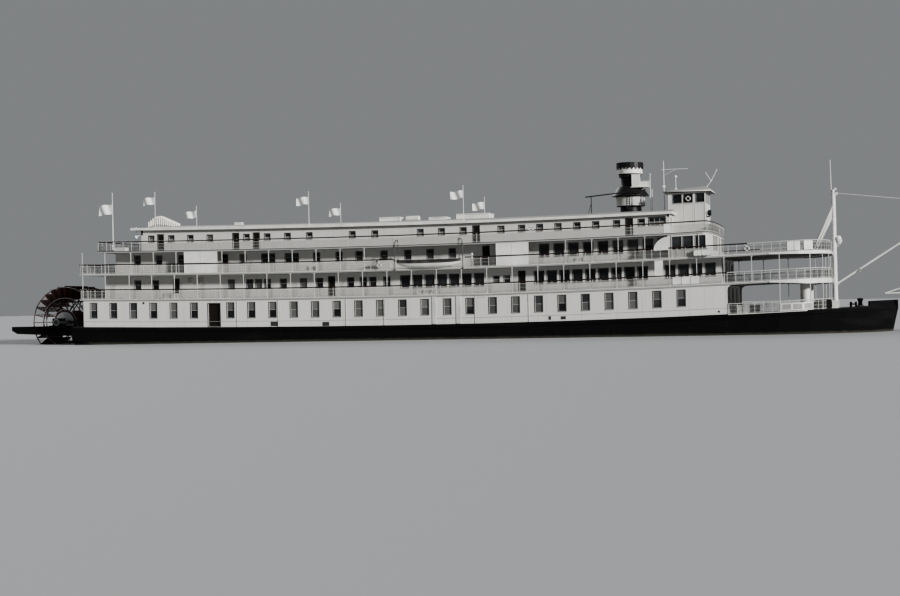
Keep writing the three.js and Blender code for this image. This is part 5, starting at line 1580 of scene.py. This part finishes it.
@dataclass
class RoofGear(Assembly):
    """Whistle box, poles, spar and aerials round the funnel and the pilothouse."""

    aside: float = -0.1
    spar_y: float = -0.19
    post_x: float = 1.876
    pilot_top: float = 1.573

    def seat(self, x: float) -> float:
        """Height of the roof crown at a station."""
        return eave(x) + 0.054 + sheer(x)

    def whistle_box(self) -> Piece:
        """Stepped white box beside the funnel's neck, on its bracket."""
        y = self.aside
        cases = ((1.580, 1.652, 0.028, 1.604, 1.716), (1.652, 1.736, 0.024, 1.604, 1.650))
        lids = ((1.576, 1.656, 0.031, 1.716, 1.721), (1.652, 1.740, 0.027, 1.650, 1.654),
                (1.568, 1.742, 0.030, 1.598, 1.604))
        struts = ((1.726, 1.630, 0.012), (1.600, 1.600, 0.010))
        return self.join([
            *(self.sunk(self.box((aft, y - half, low), (fore, y + half, high)), 0.006, 0.0015)
              for aft, fore, half, low, high in cases),
            *(self.box((aft, y - half, low), (fore, y + half, high), 0.001)
              for aft, fore, half, low, high in lids),
            *(self.bar((head, y, 1.598), (foot, y + aside, 1.560), 0.004) for head, foot, aside in struts)])

    def poles(self) -> Piece:
        """White poles, the aerial mast with its yard, and the lamps on them."""
        y, mast = self.aside, self.post_x
        parts = [
            self.post(1.748, y, self.seat(1.748), 1.712, 0.0040, 0.0030), self.ball((1.748, y, 1.714), 0.0085),
            self.post(1.764, y, self.seat(1.764), 1.569, 0.0034), self.ball((1.764, y, 1.570), 0.0055),
            self.post(mast, y, self.seat(mast), 1.836, 0.0050, 0.0026),
            self.bar((mast - 0.02, y, 1.754), (2.102, y, 1.754), 0.0026),
            self.bar((mast, y, 1.700), (1.99, y, 1.754), 0.0014, sides=5),
            self.block(mast, y, 0.012, 0.010, 1.585, 1.606, 0.002),
            self.post(1.975, 0, self.pilot_top, 1.690, 0.0030), self.ball((1.975, 0, 1.692), 0.013),
            self.tube([(2.268, y, 1.576), (2.311, y, 1.630), (2.368, y, 1.739)], 0.0034),
            self.bar((2.311, y, 1.630), (2.262, y, 1.712), 0.0024), self.ball((2.311, y, 1.632), 0.0075)]
        feet = [self.block(x, at, 0.010, 0.010, 1.556, 1.583, 0.0015) for x, at in ((1.975, 0), (2.268, y))]
        return self.join(parts + feet)

    def spar(self) -> Piece:
        """Dark spar along the funnel, on two crutches, with a ladder up the funnel's casing."""
        y = self.spar_y
        parts = [self.bar((1.150, y, 1.519), (1.716, y, 1.568), 0.0060, 0.0045, sides=10)]
        for x, head in ((1.205, 1.521), (1.672, 1.562)):
            foot = eave(x) + 0.050 + sheer(x)
            parts += [self.post(x, y, foot, head, 0.0042),
                      self.bar((x - 0.03, y, foot), (x, y, head - 0.06), 0.0026, sides=6)]
        aft, fore, out = 1.535, 1.559, -0.139
        parts += [self.post(x, out, 1.400, 1.516, 0.0022, sides=6) for x in (aft, fore)]
        parts += [self.bar((aft, out, z), (fore, out, z), 0.0016, sides=5)
                  for z in np.arange(1.41, 1.515, 0.02)]
        return self.join(parts)

    def searchlight(self) -> Piece:
        """Drum searchlight on a bracket before the pilothouse."""
        x, y, z = 2.274, -0.150, 1.334
        profile = [(0, 0), (0.016, 0.001), (0.025, 0.010), (0.027, 0.014), (0.027, 0.034), (0.024, 0.036),
                   (0, 0.034)]
        drum = self.lathe(profile, (0, 0, 0), 24)
        drum.data.transform(spot((x, y, z), math.pi / 2, "Y"))
        yoke = self.hoop((x + 0.018, y, z), 0.030, 0.0024, (0, math.pi / 2, 0), 24)
        foot = self.box((x - 0.009, y - 0.006, z - 0.040), (x + 0.024, y + 0.006, z - 0.028), 0.001)
        return self.join([drum, yoke, foot])

    def pilot_trim(self) -> Piece:
        """Corner posts of the pilothouse and the framed panels under its windows."""
        level, inner = PILOT_EAVE + sheer(PILOT_MIDDLE), 0.0005 - PILOT_HALF
        parts = [self.box((x - 0.005, -0.2235, DECK_4 + sheer(x)), (x + 0.005, -0.2165, level), 0.001)
                 for x in (1.9295, 2.2625)]
        for aft, fore in ((1.950, 2.055), (2.068, 2.152), (2.166, 2.250)):
            panel = self.box((aft, -0.2225, 1.205), (fore, inner, 1.405))
            parts.append(self.sunk(panel, 0.009, 0.0012))
        parts.append(self.box((1.926, -0.2245, 1.416), (2.266, inner, 1.421), 0.001))
        return self.both(parts)

    def build(self) -> None:
        """Makes the gear."""
        self.finish(self.whistle_box(), "whistle_box", Look.trim, "white_house")
        self.finish(self.poles(), "roof_poles_and_aerials", Look.trim, "white_house")
        self.finish(self.spar(), "roof_spar", Look.dark, "funnel_black")
        self.finish(self.searchlight(), "pilothouse_searchlight", Look.dark, "iron")
        self.finish(self.pilot_trim(), "pilothouse_trim", Look.wall, "white_house")


@dataclass
class Lifebuoys(Assembly):
    """Ring buoys with dark bands, on rails and walls."""

    radius: float = 0.0185
    thick: float = 0.0052
    places: Sequence[Point] = (
        (0.768, -0.890, 1.196), (2.677, -0.890, 0.923), (-2.636, -0.731, 0.813), (-2.521, -0.731, 0.813),
        (2.110, -0.229, 1.434), (-0.668, -0.893, 0.915))

    def build(self) -> None:
        """Makes the rings and their bands."""
        places = [(x, y, z + sheer(x)) for x, y, z in self.places]
        rings = self.stamp(self.hoop((0, 0, 0), self.radius, self.thick, steps=28), places)
        self.finish(self.mirrored(rings), "lifebuoys", Look.trim, "white_rail")
        reach = self.thick + 0.0008
        band = self.box((-0.0035, -reach, self.radius - reach), (0.0035, reach, self.radius + reach), 0.0015)
        four = self.stamp(band, [Matrix.Rotation(math.radians(45 + 90 * i), 4, "Y") for i in range(4)])
        self.finish(self.mirrored(self.stamp(four, places)), "lifebuoy_bands", Look.dark, "dark_wood")


@dataclass
class DeckFittings(Assembly):
    """Screens, panels, ducts and lockers along the sides."""

    screens: Sequence[tuple[float, float]] = ((-2.620, -2.280), (0.440, 0.740))
    ducts: Sequence[tuple[float, float]] = ((-0.174, -0.136), (0.053, 0.100))
    pipes: Sequence[float] = (-2.091, -1.677, -1.004, -0.634, 0.232, 0.729)
    vents: Sequence[tuple[float, float, float, float]] = (
        (-1.754, -1.675, 0.366, 0.408), (-1.239, -1.172, 0.363, 0.400), (0.909, 0.932, 0.374, 0.406),
        (1.021, 1.067, 0.374, 0.402))
    portholes: Sequence[tuple[float, float, float]] = ((-3.058, 0.592, 0.010), (2.424, 0.386, 0.008))
    lockers: Sequence[tuple[float, float, float, float, float, float]] = (
        (-2.860, -2.720, -0.86, -0.80, DECK_2, 0.050), (-1.400, -1.300, -0.86, -0.80, DECK_3, 0.046),
        (1.130, 1.230, -0.86, -0.80, DECK_3, 0.046), (-0.300, -0.160, -0.86, -0.80, DECK_2, 0.044),
        (-3.450, -3.330, -0.70, -0.62, DECK_4, 0.040), (2.579, 2.675, -0.86, -0.80, MAIN_DECK, 0.070))
    out: float = -0.8865

    def board(self, low: Point, high: Point, margin: float = 0.008) -> Piece:
        """Upright board with its middle sunk, outer face to starboard."""
        return self.sunk(self.box(low, high), margin, 0.0012)

    def panels(self) -> Piece:
        """White screens between decks and panels on the rails."""
        parts = []
        out, screen, panel = self.out, -0.8815, -0.8835
        for aft, fore in self.screens:
            middle = (aft + fore) / 2
            for x0, x1 in ((aft, middle - 0.001), (middle + 0.001, fore)):
                over = self.board((x0, out, DECK_3 + RAIL_HEIGHT + 0.004), (x1, screen, DECK_4 - SLAB), 0.006)
                parts += [over, self.board((x0, out, DECK_3 + 0.002), (x1, panel, DECK_3 + 0.082), 0.006)]
        parts.append(self.board((1.961, out, 1.100), (2.021, panel, 1.180), 0.006))
        parts.append(self.board((1.874, out, 0.728), (1.946, screen, DECK_3 - SLAB), 0.006))
        arc = [(1.994 - 0.127 * math.cos(a), 0.952 + 0.113 * math.sin(a) ** 1.1)
               for a in np.linspace(0, math.pi / 2, 14)]
        parts.append(self.plate([(1.867, 0.950), *arc[1:], (1.994, 0.950)], -0.8870, 0.004))
        parts += [self.board((x, -0.8855, DECK_2 + 0.008), (x + 0.072, panel, DECK_2 + 0.072), 0.005)
                  for x in (2.03, 2.11, 2.19)]
        return self.lift(self.both(parts))

    def plumbing(self) -> Piece:
        """Ducts and pipes up the main house's wall, with the pipes' clips."""
        y, low, high = -HOUSE_HALF, MAIN_DECK + 0.002, DECK_2 - SLAB
        out = y - 0.003
        parts = [self.box((a, y - 0.007, low), (b, y + 0.001, high), 0.002) for a, b in self.ducts]
        parts += [self.post(x, out, low, high, 0.0030) for x in self.pipes]
        parts += [self.box((x - 0.005, y - 0.0065, z), (x + 0.005, y, z + 0.004), 0.0006)
                  for x in self.pipes for z in (0.42, 0.56)]
        parts.append(self.tube([(0.232, out, 0.585), (0.262, out, 0.596), (0.330, out, 0.601)], 0.0030))
        return self.lift(self.both(parts))

    def moulding(self) -> Piece:
        """Moulding along the main house's wall at the sills, painted grey as the painted shadow under it."""
        aft, fore = -3.697, 2.5
        board = self.box((aft, -HOUSE_HALF - 0.0025, 0.4122), (fore, 0.001 - HOUSE_HALF, 0.4152))
        return self.lift(self.mirrored(self.cut_at(board, knots(aft, fore))))

    def ports(self) -> Piece:
        """Small round ports with a flange, and louvred vents."""
        parts = []
        y = -HOUSE_HALF
        for aft, fore, low, high in self.vents:
            vent = self.box((aft, y - 0.002, low), (fore, 0.001 - HOUSE_HALF, high))
            parts.append(self.sunk(vent, 0.004, 0.001))
            parts += [self.box((aft + 0.004, y - 0.002, z), (fore - 0.004, y, z + 0.003))
                      for z in np.arange(low + 0.008, high - 0.006, 0.009)]
        for x, z, radius in self.portholes:
            parts += [self.bar((x, y - 0.0015, z), (x, y + 0.001, z), radius, sides=20),
                      self.hoop((x, y - 0.001, z), radius, 0.0016)]
        return self.lift(self.both(parts))

    def chests(self) -> Piece:
        """Lockers just inside the rails."""
        parts = []
        for aft, fore, out, inner, deck, height in self.lockers:
            top = deck + height
            lid = self.box((aft - 0.003, out - 0.003, top - 0.005), (fore + 0.003, inner + 0.003, top), 0.001)
            parts += [self.board((aft, out, deck), (fore, inner, top - 0.005), 0.005), lid]
        return self.lift(self.both(parts))

    def canister(self) -> Piece:
        """Raft boxes in their cradle outside the rail of deck 3."""
        parts = []
        for aft, fore in ((2.222, 2.290), (2.294, 2.366)):
            parts += [self.board((aft, -0.922, 0.886), (fore, -0.886, 0.927), 0.005),
                      self.box((aft - 0.001, -0.924, 0.927), (fore + 0.001, -0.885, 0.932), 0.001)]
        parts += [self.box((x, -0.926, 0.880), (x + 0.006, -0.884, 0.886), 0.001)
                  for x in (2.236, 2.275, 2.308, 2.346)]
        return self.lift(self.both(parts))

    def hood(self) -> Piece:
        """Curved hood over the boarding place aft of the lifeboat, on two stanchions."""
        arc = [(-0.610 - 0.088 * math.cos(a), 0.948 + 0.036 * math.sin(a))
               for a in np.linspace(0.05, math.pi - 0.05, 15)]
        under = [(x, z - 0.005) for x, z in reversed(arc)]
        stanchions = [self.post(x, -0.897, DECK_3 - 0.004, 0.950, 0.0022) for x in (-0.690, -0.530)]
        return self.lift(self.both([self.plate([*arc, *under], -0.900, 0.060), *stanchions]))

    def lamps(self) -> Piece:
        """Small lamps on brackets and the horn under the canopy."""
        parts = []
        for x, y, z in ((0.216, -0.889, 0.992), (-3.506, -0.615, 1.150), (-3.300, -0.500, 1.330)):
            parts += [self.ball((x, y, z), 0.011), self.post(x, y, z - 0.034, z, 0.0028),
                      self.block(x, y, 0.006, 0.006, z - 0.038, z - 0.030, 0.001)]
        horn = [(0.004, 0), (0.006, 0.020), (0.011, 0.034), (0.018, 0.040), (0.016, 0.041), (0.009, 0.034),
                (0.003, 0.020)]
        bell = self.lathe(horn, (0, 0, 0), 20)
        bell.data.transform(spot((-3.268, -0.500, 1.262), -2.0, "Y"))
        return self.lift(self.join([*parts, bell]))

    def build(self) -> None:
        """Makes the fittings."""
        self.finish(self.panels(), "side_screens", Look.trim, "white_rail")
        self.finish(self.plumbing(), "wall_ducts_and_moulding", Look.grey_white, "white_house")
        # The moulding's grey is painted shadow under the sill moulding.
        self.finish(self.moulding(), "wall_moulding_painted_shadow", Look.grey, "white_house")
        self.finish(self.ports(), "wall_ports_and_vents", Look.jamb, "iron")
        self.finish(self.chests(), "deck_lockers", Look.trim, "white_house")
        self.finish(self.canister(), "raft_canisters", Look.trim, "white_rail")
        self.finish(self.hood(), "boarding_hoods", Look.tarpaulin, "dark_wood")
        self.finish(self.lamps(), "deck_lamps_and_horn", Look.lamp, "white_rail")


@dataclass
class Foredeck(Assembly):
    """House sides ended at the house, with the fence, towers and bins of the open foredeck."""

    nodes: dict[str, Piece]
    rail: Railing
    upper_rail: Railing
    house_end: float = 2.5045
    arch_end: float = 2.58
    fence: tuple[float, float] = (2.951, 3.218)
    fence_top: float = 0.064
    tower: tuple[float, float] = (3.152, -0.5)
    tower_radius: float = 0.043
    boards: Sequence[tuple[float, float]] = ((3.020, 3.075), (3.080, 3.124), (3.158, 3.226))

    def walls(self) -> Piece:
        """Side walls of the main house, without the low walls of the foredeck."""
        copies = []
        for side in ("starboard", "port"):
            copy = bpy.data.objects.new("wall", self.nodes[f"main_house_{side}"].data.copy())
            bpy.context.scene.collection.objects.link(copy)
            copies.append(copy)
        walls = self.join(copies)
        self.edit(walls, lambda: (
            bpy.ops.mesh.remove_doubles(threshold=1e-5), self.saw((self.house_end, 0, 0), (1, 0, 0))))
        self.on_faces(
            walls, lambda face: face.center.x > self.house_end and (
                face.center.z < MAIN_DECK + 0.16 or face.center.x > self.arch_end),
            lambda: bpy.ops.mesh.delete(type="FACE"))
        return self.edit(walls, lambda: bpy.ops.mesh.fill_holes(sides=0))

    def fence_pieces(self) -> tuple[Piece, Piece]:
        """White frames of the fence, and the grey panels in them."""
        start, end = (self.rail.reach(x, RAIL_INSET) for x in self.fence)
        width = (end - start) / 3
        frames, panels = [], []
        for i in range(3):
            middle = start + (i + 0.5) * width
            frame = self.lattice(width - 0.002, self.fence_top, (), 1, 0.016, 0.004)
            frame.data.transform(spot((middle, -0.0045, MAIN_DECK + 0.004)))
            frames.append(frame)
            reach, top = width / 2 - 0.006, MAIN_DECK + self.fence_top - 0.004
            panels.append(self.box((middle - reach, -0.0045, MAIN_DECK + 0.010), (middle + reach, -0.003, top)))
        return tuple(self.mirrored(self.rail.wrap(self.join(parts), RAIL_INSET)) for parts in (frames, panels))

    def bow_fascia(self, deck: float, depth: float) -> Piece:
        """Fascia of one deck round the bow, which deepens forward to its full depth."""
        path = self.upper_rail.path(-0.001)
        a, b = self.upper_rail.reach(2.86, -0.001), self.upper_rail.lengths(path)[-1]
        board = self.box((a, -0.003, deck - 1), (b, 0.0, deck - 0.003))
        board = self.cut_at(board, np.linspace(a, b, 40)[1:-1])

        def form(points: np.ndarray) -> np.ndarray:
            """Points with the lower edge drawn up to its line."""
            edge = deck - 0.016 - (depth - 0.016) * np.clip((points[:, 0] - a) / 0.35, 0, 1)
            points[:, 2] = np.where(points[:, 2] < deck - 0.5, edge, points[:, 2])
            return points
        return self.upper_rail.wrap(self.moved(board, form), -0.001)

    def bow_panels(self) -> Piece:
        """Deep fascias of decks 2 and 3 at the bow, and rigid white boards on the curved rail of deck 3."""
        parts = [self.bow_fascia(deck, depth) for deck, depth in ((DECK_2, 0.044), (DECK_3, 0.030))]
        for low, high in self.boards:
            a, b = (self.upper_rail.reach(x, RAIL_INSET) for x in (low, high))
            board = self.box((a, -0.0065, DECK_3 + 0.006), (b, -0.0035, DECK_3 + 0.084))
            board = self.cut_at(self.sunk(board, 0.006, 0.001), np.linspace(a, b, 6)[1:-1])
            parts.append(self.upper_rail.wrap(board, RAIL_INSET))
        return self.both(parts)

    def towers(self) -> Piece:
        """Round stair trunks from the foredeck to deck 2."""
        (x, y), r = self.tower, self.tower_radius
        low, high = MAIN_DECK + sheer(x), DECK_2 - SLAB + sheer(x - r)
        profile = [(0, low), (r + 0.003, low), (r + 0.003, low + 0.010), (r, low + 0.012), (r, high - 0.012),
                   (r + 0.003, high - 0.010), (r + 0.003, high), (0, high)]
        return self.mirrored(self.lathe(profile, (x, y, 0), 36))

    def bins(self) -> Piece:
        """Dark lidded bins and deck lockers by the mast."""
        parts = []
        for x in (3.245, 3.318):
            base = MAIN_DECK + sheer(x)
            top = base + 0.076
            parts += [self.sunk(self.box((x, -0.555, base), (x + 0.055, -0.480, top)), 0.007, 0.002),
                      self.box((x - 0.003, -0.558, top), (x + 0.058, -0.477, base + 0.082), 0.0015)]
        return self.both(parts)

    def build(self) -> None:
        """Makes the foredeck's pieces."""
        self.finish(self.walls(), "main_house_sides", Look.wall, "white_house",
                    replaces=["main_house_starboard", "main_house_port"])
        frames, panels = self.fence_pieces()
        self.finish(frames, "foredeck_fence", Look.trim, "white_rail")
        self.finish(panels, "foredeck_fence_panels", Look.grey, "white_rail")
        self.finish(self.bow_panels(), "bow_boards", Look.trim, "white_rail")
        self.finish(self.towers(), "stair_trunks", Look.trim, "white_house")
        self.finish(self.bins(), "foredeck_bins", Look.dark, "iron")


@dataclass
class MastFittings(Assembly):
    """Bands, lamps and ladders of the derrick masts, and the fitting on the stage boom."""

    x: float = 3.405
    y: float = -0.3
    lamp: tuple[float, float] = (3.443, 1.057)
    head: Point = (3.398, -0.3, 1.345)
    foot: Point = (3.222, -0.3, 0.956)
    rungs: int = 13
    boom_place: tuple[float, float] = (3.623, 0.763)
    boom_angle: float = 32.4

    def ladder(self) -> Piece:
        """Stringers and rungs on the slanted leg."""
        head, foot, half = Vector(self.head), Vector(self.foot), Vector((0, 0.020, 0))
        sides = (Vector((0, -0.016, 0)), Vector((0, 0.016, 0)))
        parts = [self.bar(head + side, foot + side, 0.0036, sides=6) for side in sides]
        for i in range(self.rungs):
            place = head.lerp(foot, (i + 0.5) / self.rungs)
            parts.append(self.bar(place - half, place + half, 0.0030, sides=6))
        return self.both(parts)

    def bands(self) -> Piece:
        """Bands round the masts, cleats, the masthead lamps and the lamp brackets."""
        rings = ((0.52, 0.0172), (0.75, 0.0164), (1.02, 0.0152), (1.26, 0.0140), (1.48, 0.0128))
        mast, y, (x, z) = self.x, self.y, self.lamp
        parts = [self.post(mast, y, at - 0.005, at + 0.005, radius + 0.0015, sides=16) for at, radius in rings]
        parts += [
            self.tube([(mast + 0.012, y, z - 0.052), (x - 0.006, y, z - 0.050), (x, y, z - 0.030)], 0.0028),
            self.post(x, y, z - 0.032, z - 0.022, 0.012, 0.016, sides=14),
            self.box((mast + 0.010, y - 0.008, 1.488), (mast + 0.030, y + 0.008, 1.510), 0.002),
            self.block(mast, y, 0.022, 0.022, 0.446, 0.452, 0.002)]
        return self.both(parts)

    def build(self) -> None:
        """Makes the fittings; the one on the boom swings with it."""
        self.finish(self.ladder(), "mast_leg_ladders", Look.trim, "white_rail")
        self.finish(self.bands(), "mast_bands", Look.trim, "white_rail")
        globe = self.ball((self.lamp[0], self.y, self.lamp[1]), 0.027)
        self.finish(self.mirrored(globe), "mast_globe_lamps", Look.lamp, "white_rail")
        angle = math.radians(self.boom_angle)
        along = Vector((math.cos(angle), 0, math.sin(angle))) * 0.012
        middle = Vector((self.boom_place[0], self.y, self.boom_place[1]))
        collar = self.join([self.bar(middle - along, middle + along, 0.0195, sides=16),
                            self.hoop(middle - Vector((0, 0, 0.024)), 0.0065, 0.0018)])
        self.finish(collar, "stage_boom_collar", Look.grey, "iron", "stage_boom")


def carried_nodes(frame: dict) -> None:
    """Gives the CAD nodes their finishes."""
    looks = {
        "hull": Look.hull, "cylinder_beam": Look.black, "rudder": Look.black, "main_house": Look.wall,
        "cabin": Look.boards, "texas": Look.boards, "pilothouse": Look.boards, "deck": Look.deck,
        "texas_roof": Look.roof, "pilothouse_roof": Look.roof, "funnel": Look.funnel, "mast": Look.trim,
        "stage_boom": Look.trim, "landing_stage": Look.trim, "paddle_buckets": Look.wheel,
        "wheel_frame": Look.wheel, "paddle_shaft": Look.iron, "pitman": Look.door, "cargo_door": Look.door,
        "lifeboat": Look.trim, "boilers": Look.iron, "flag_line": Look.cloth, "stern_staff": Look.cloth,
        "railing": Look.trim, "foredeck_rail": Look.trim,
    }
    for node, piece in frame["nodes"].items():
        best = max((start for start in looks if node.startswith(start)), key=len)
        piece.data.materials.clear()
        piece.data.materials.append(looks[best].material())


def walls() -> list[Wall]:
    """The walls of the six deck houses."""
    return [
        Wall("main_house", MAIN_DECK, HOUSE_HALF, MAIN_ROW, MAIN_ENDS, (Look.half_glass, Look.shaded_glass),
             0.009),
        Wall("cabin_2", DECK_2, CABIN_HALF, CABIN_2_ROW, CABIN_2_ENDS),
        Wall("cabin_3", DECK_3, CABIN_HALF, CABIN_3_ROW, CABIN_3_ENDS),
        Wall("lounge", DECK_3, LOUNGE_HALF, LOUNGE_ROW, LOUNGE_ENDS),
        Wall("texas", DECK_4, TEXAS_HALF, TEXAS_ROW, TEXAS_ENDS, (Look.pale_glass, Look.glass), 0.008, 0.010),
        Wall("pilothouse", DECK_4, PILOT_HALF, PILOT_ROW, PILOT_ENDS),
    ]


def railings() -> list[Railing]:
    """The rails of the four decks."""
    def nodes(deck: int) -> list[str]:
        """Rail nodes of a deck."""
        return [f"railing_{deck}_{place}" for place in ("starboard", "port", "front")]

    def open_side(x: float) -> bool:
        """Whether deck 3 has a column there, clear of its aft screen and its lifeboat."""
        return not (-2.63 < x < -2.27 or -0.75 < x < 1.0)
    aft_columns = [GALLERY_AFT + 0.034, -3.455]
    bow_columns = (25, 48, 66)
    return [
        Railing("rail_2", DECK_2, GALLERY_AFT, FRONT_START, FRONT_END, nodes(2),
                aft_columns + pitched(-3.202, COLUMN_PITCH, 27), bow_columns, DECK_3 - SLAB, dark_to=2.5),
        Railing("rail_3", DECK_3, GALLERY_AFT, FRONT_START, FRONT_END, nodes(3),
                aft_columns + list(filter(open_side, pitched(-3.18, COLUMN_PITCH, 24))), (), DECK_4 - SLAB,
                dark_to=2.68, gap=(-0.535, 0.145)),
        Railing("rail_4", DECK_4, DECK_4_AFT, DECK_4_START, DECK_4_END, nodes(4), brow=0.066,
                post_pitch=0.088, nose=Look.shade),
        Railing("foredeck_rail", MAIN_DECK, 2.504, FRONT_START, FRONT_END, ["foredeck_rail"], (2.950,),
                bow_columns, DECK_2 - SLAB, dark_to=-9, stern=False),
    ]


def main() -> None:
    """Builds the steamer around its frame."""
    logging.basicConfig(level=logging.INFO, format="%(message)s")
    random.seed(7)
    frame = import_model()
    Studio().build()
    carried_nodes(frame)
    rails = railings()
    parts = [*walls(), *rails, Foredeck(frame["nodes"], rails[3], rails[1]), TexasRoof(), PilotRoof(), Funnel(),
             RoofGear(), Lifeboats(), Lifebuoys(), DeckFittings(), MastFittings(), Flags(), WheelTrim()]
    for part in parts:
        part.build()


if __name__ == "__main__":
    main()
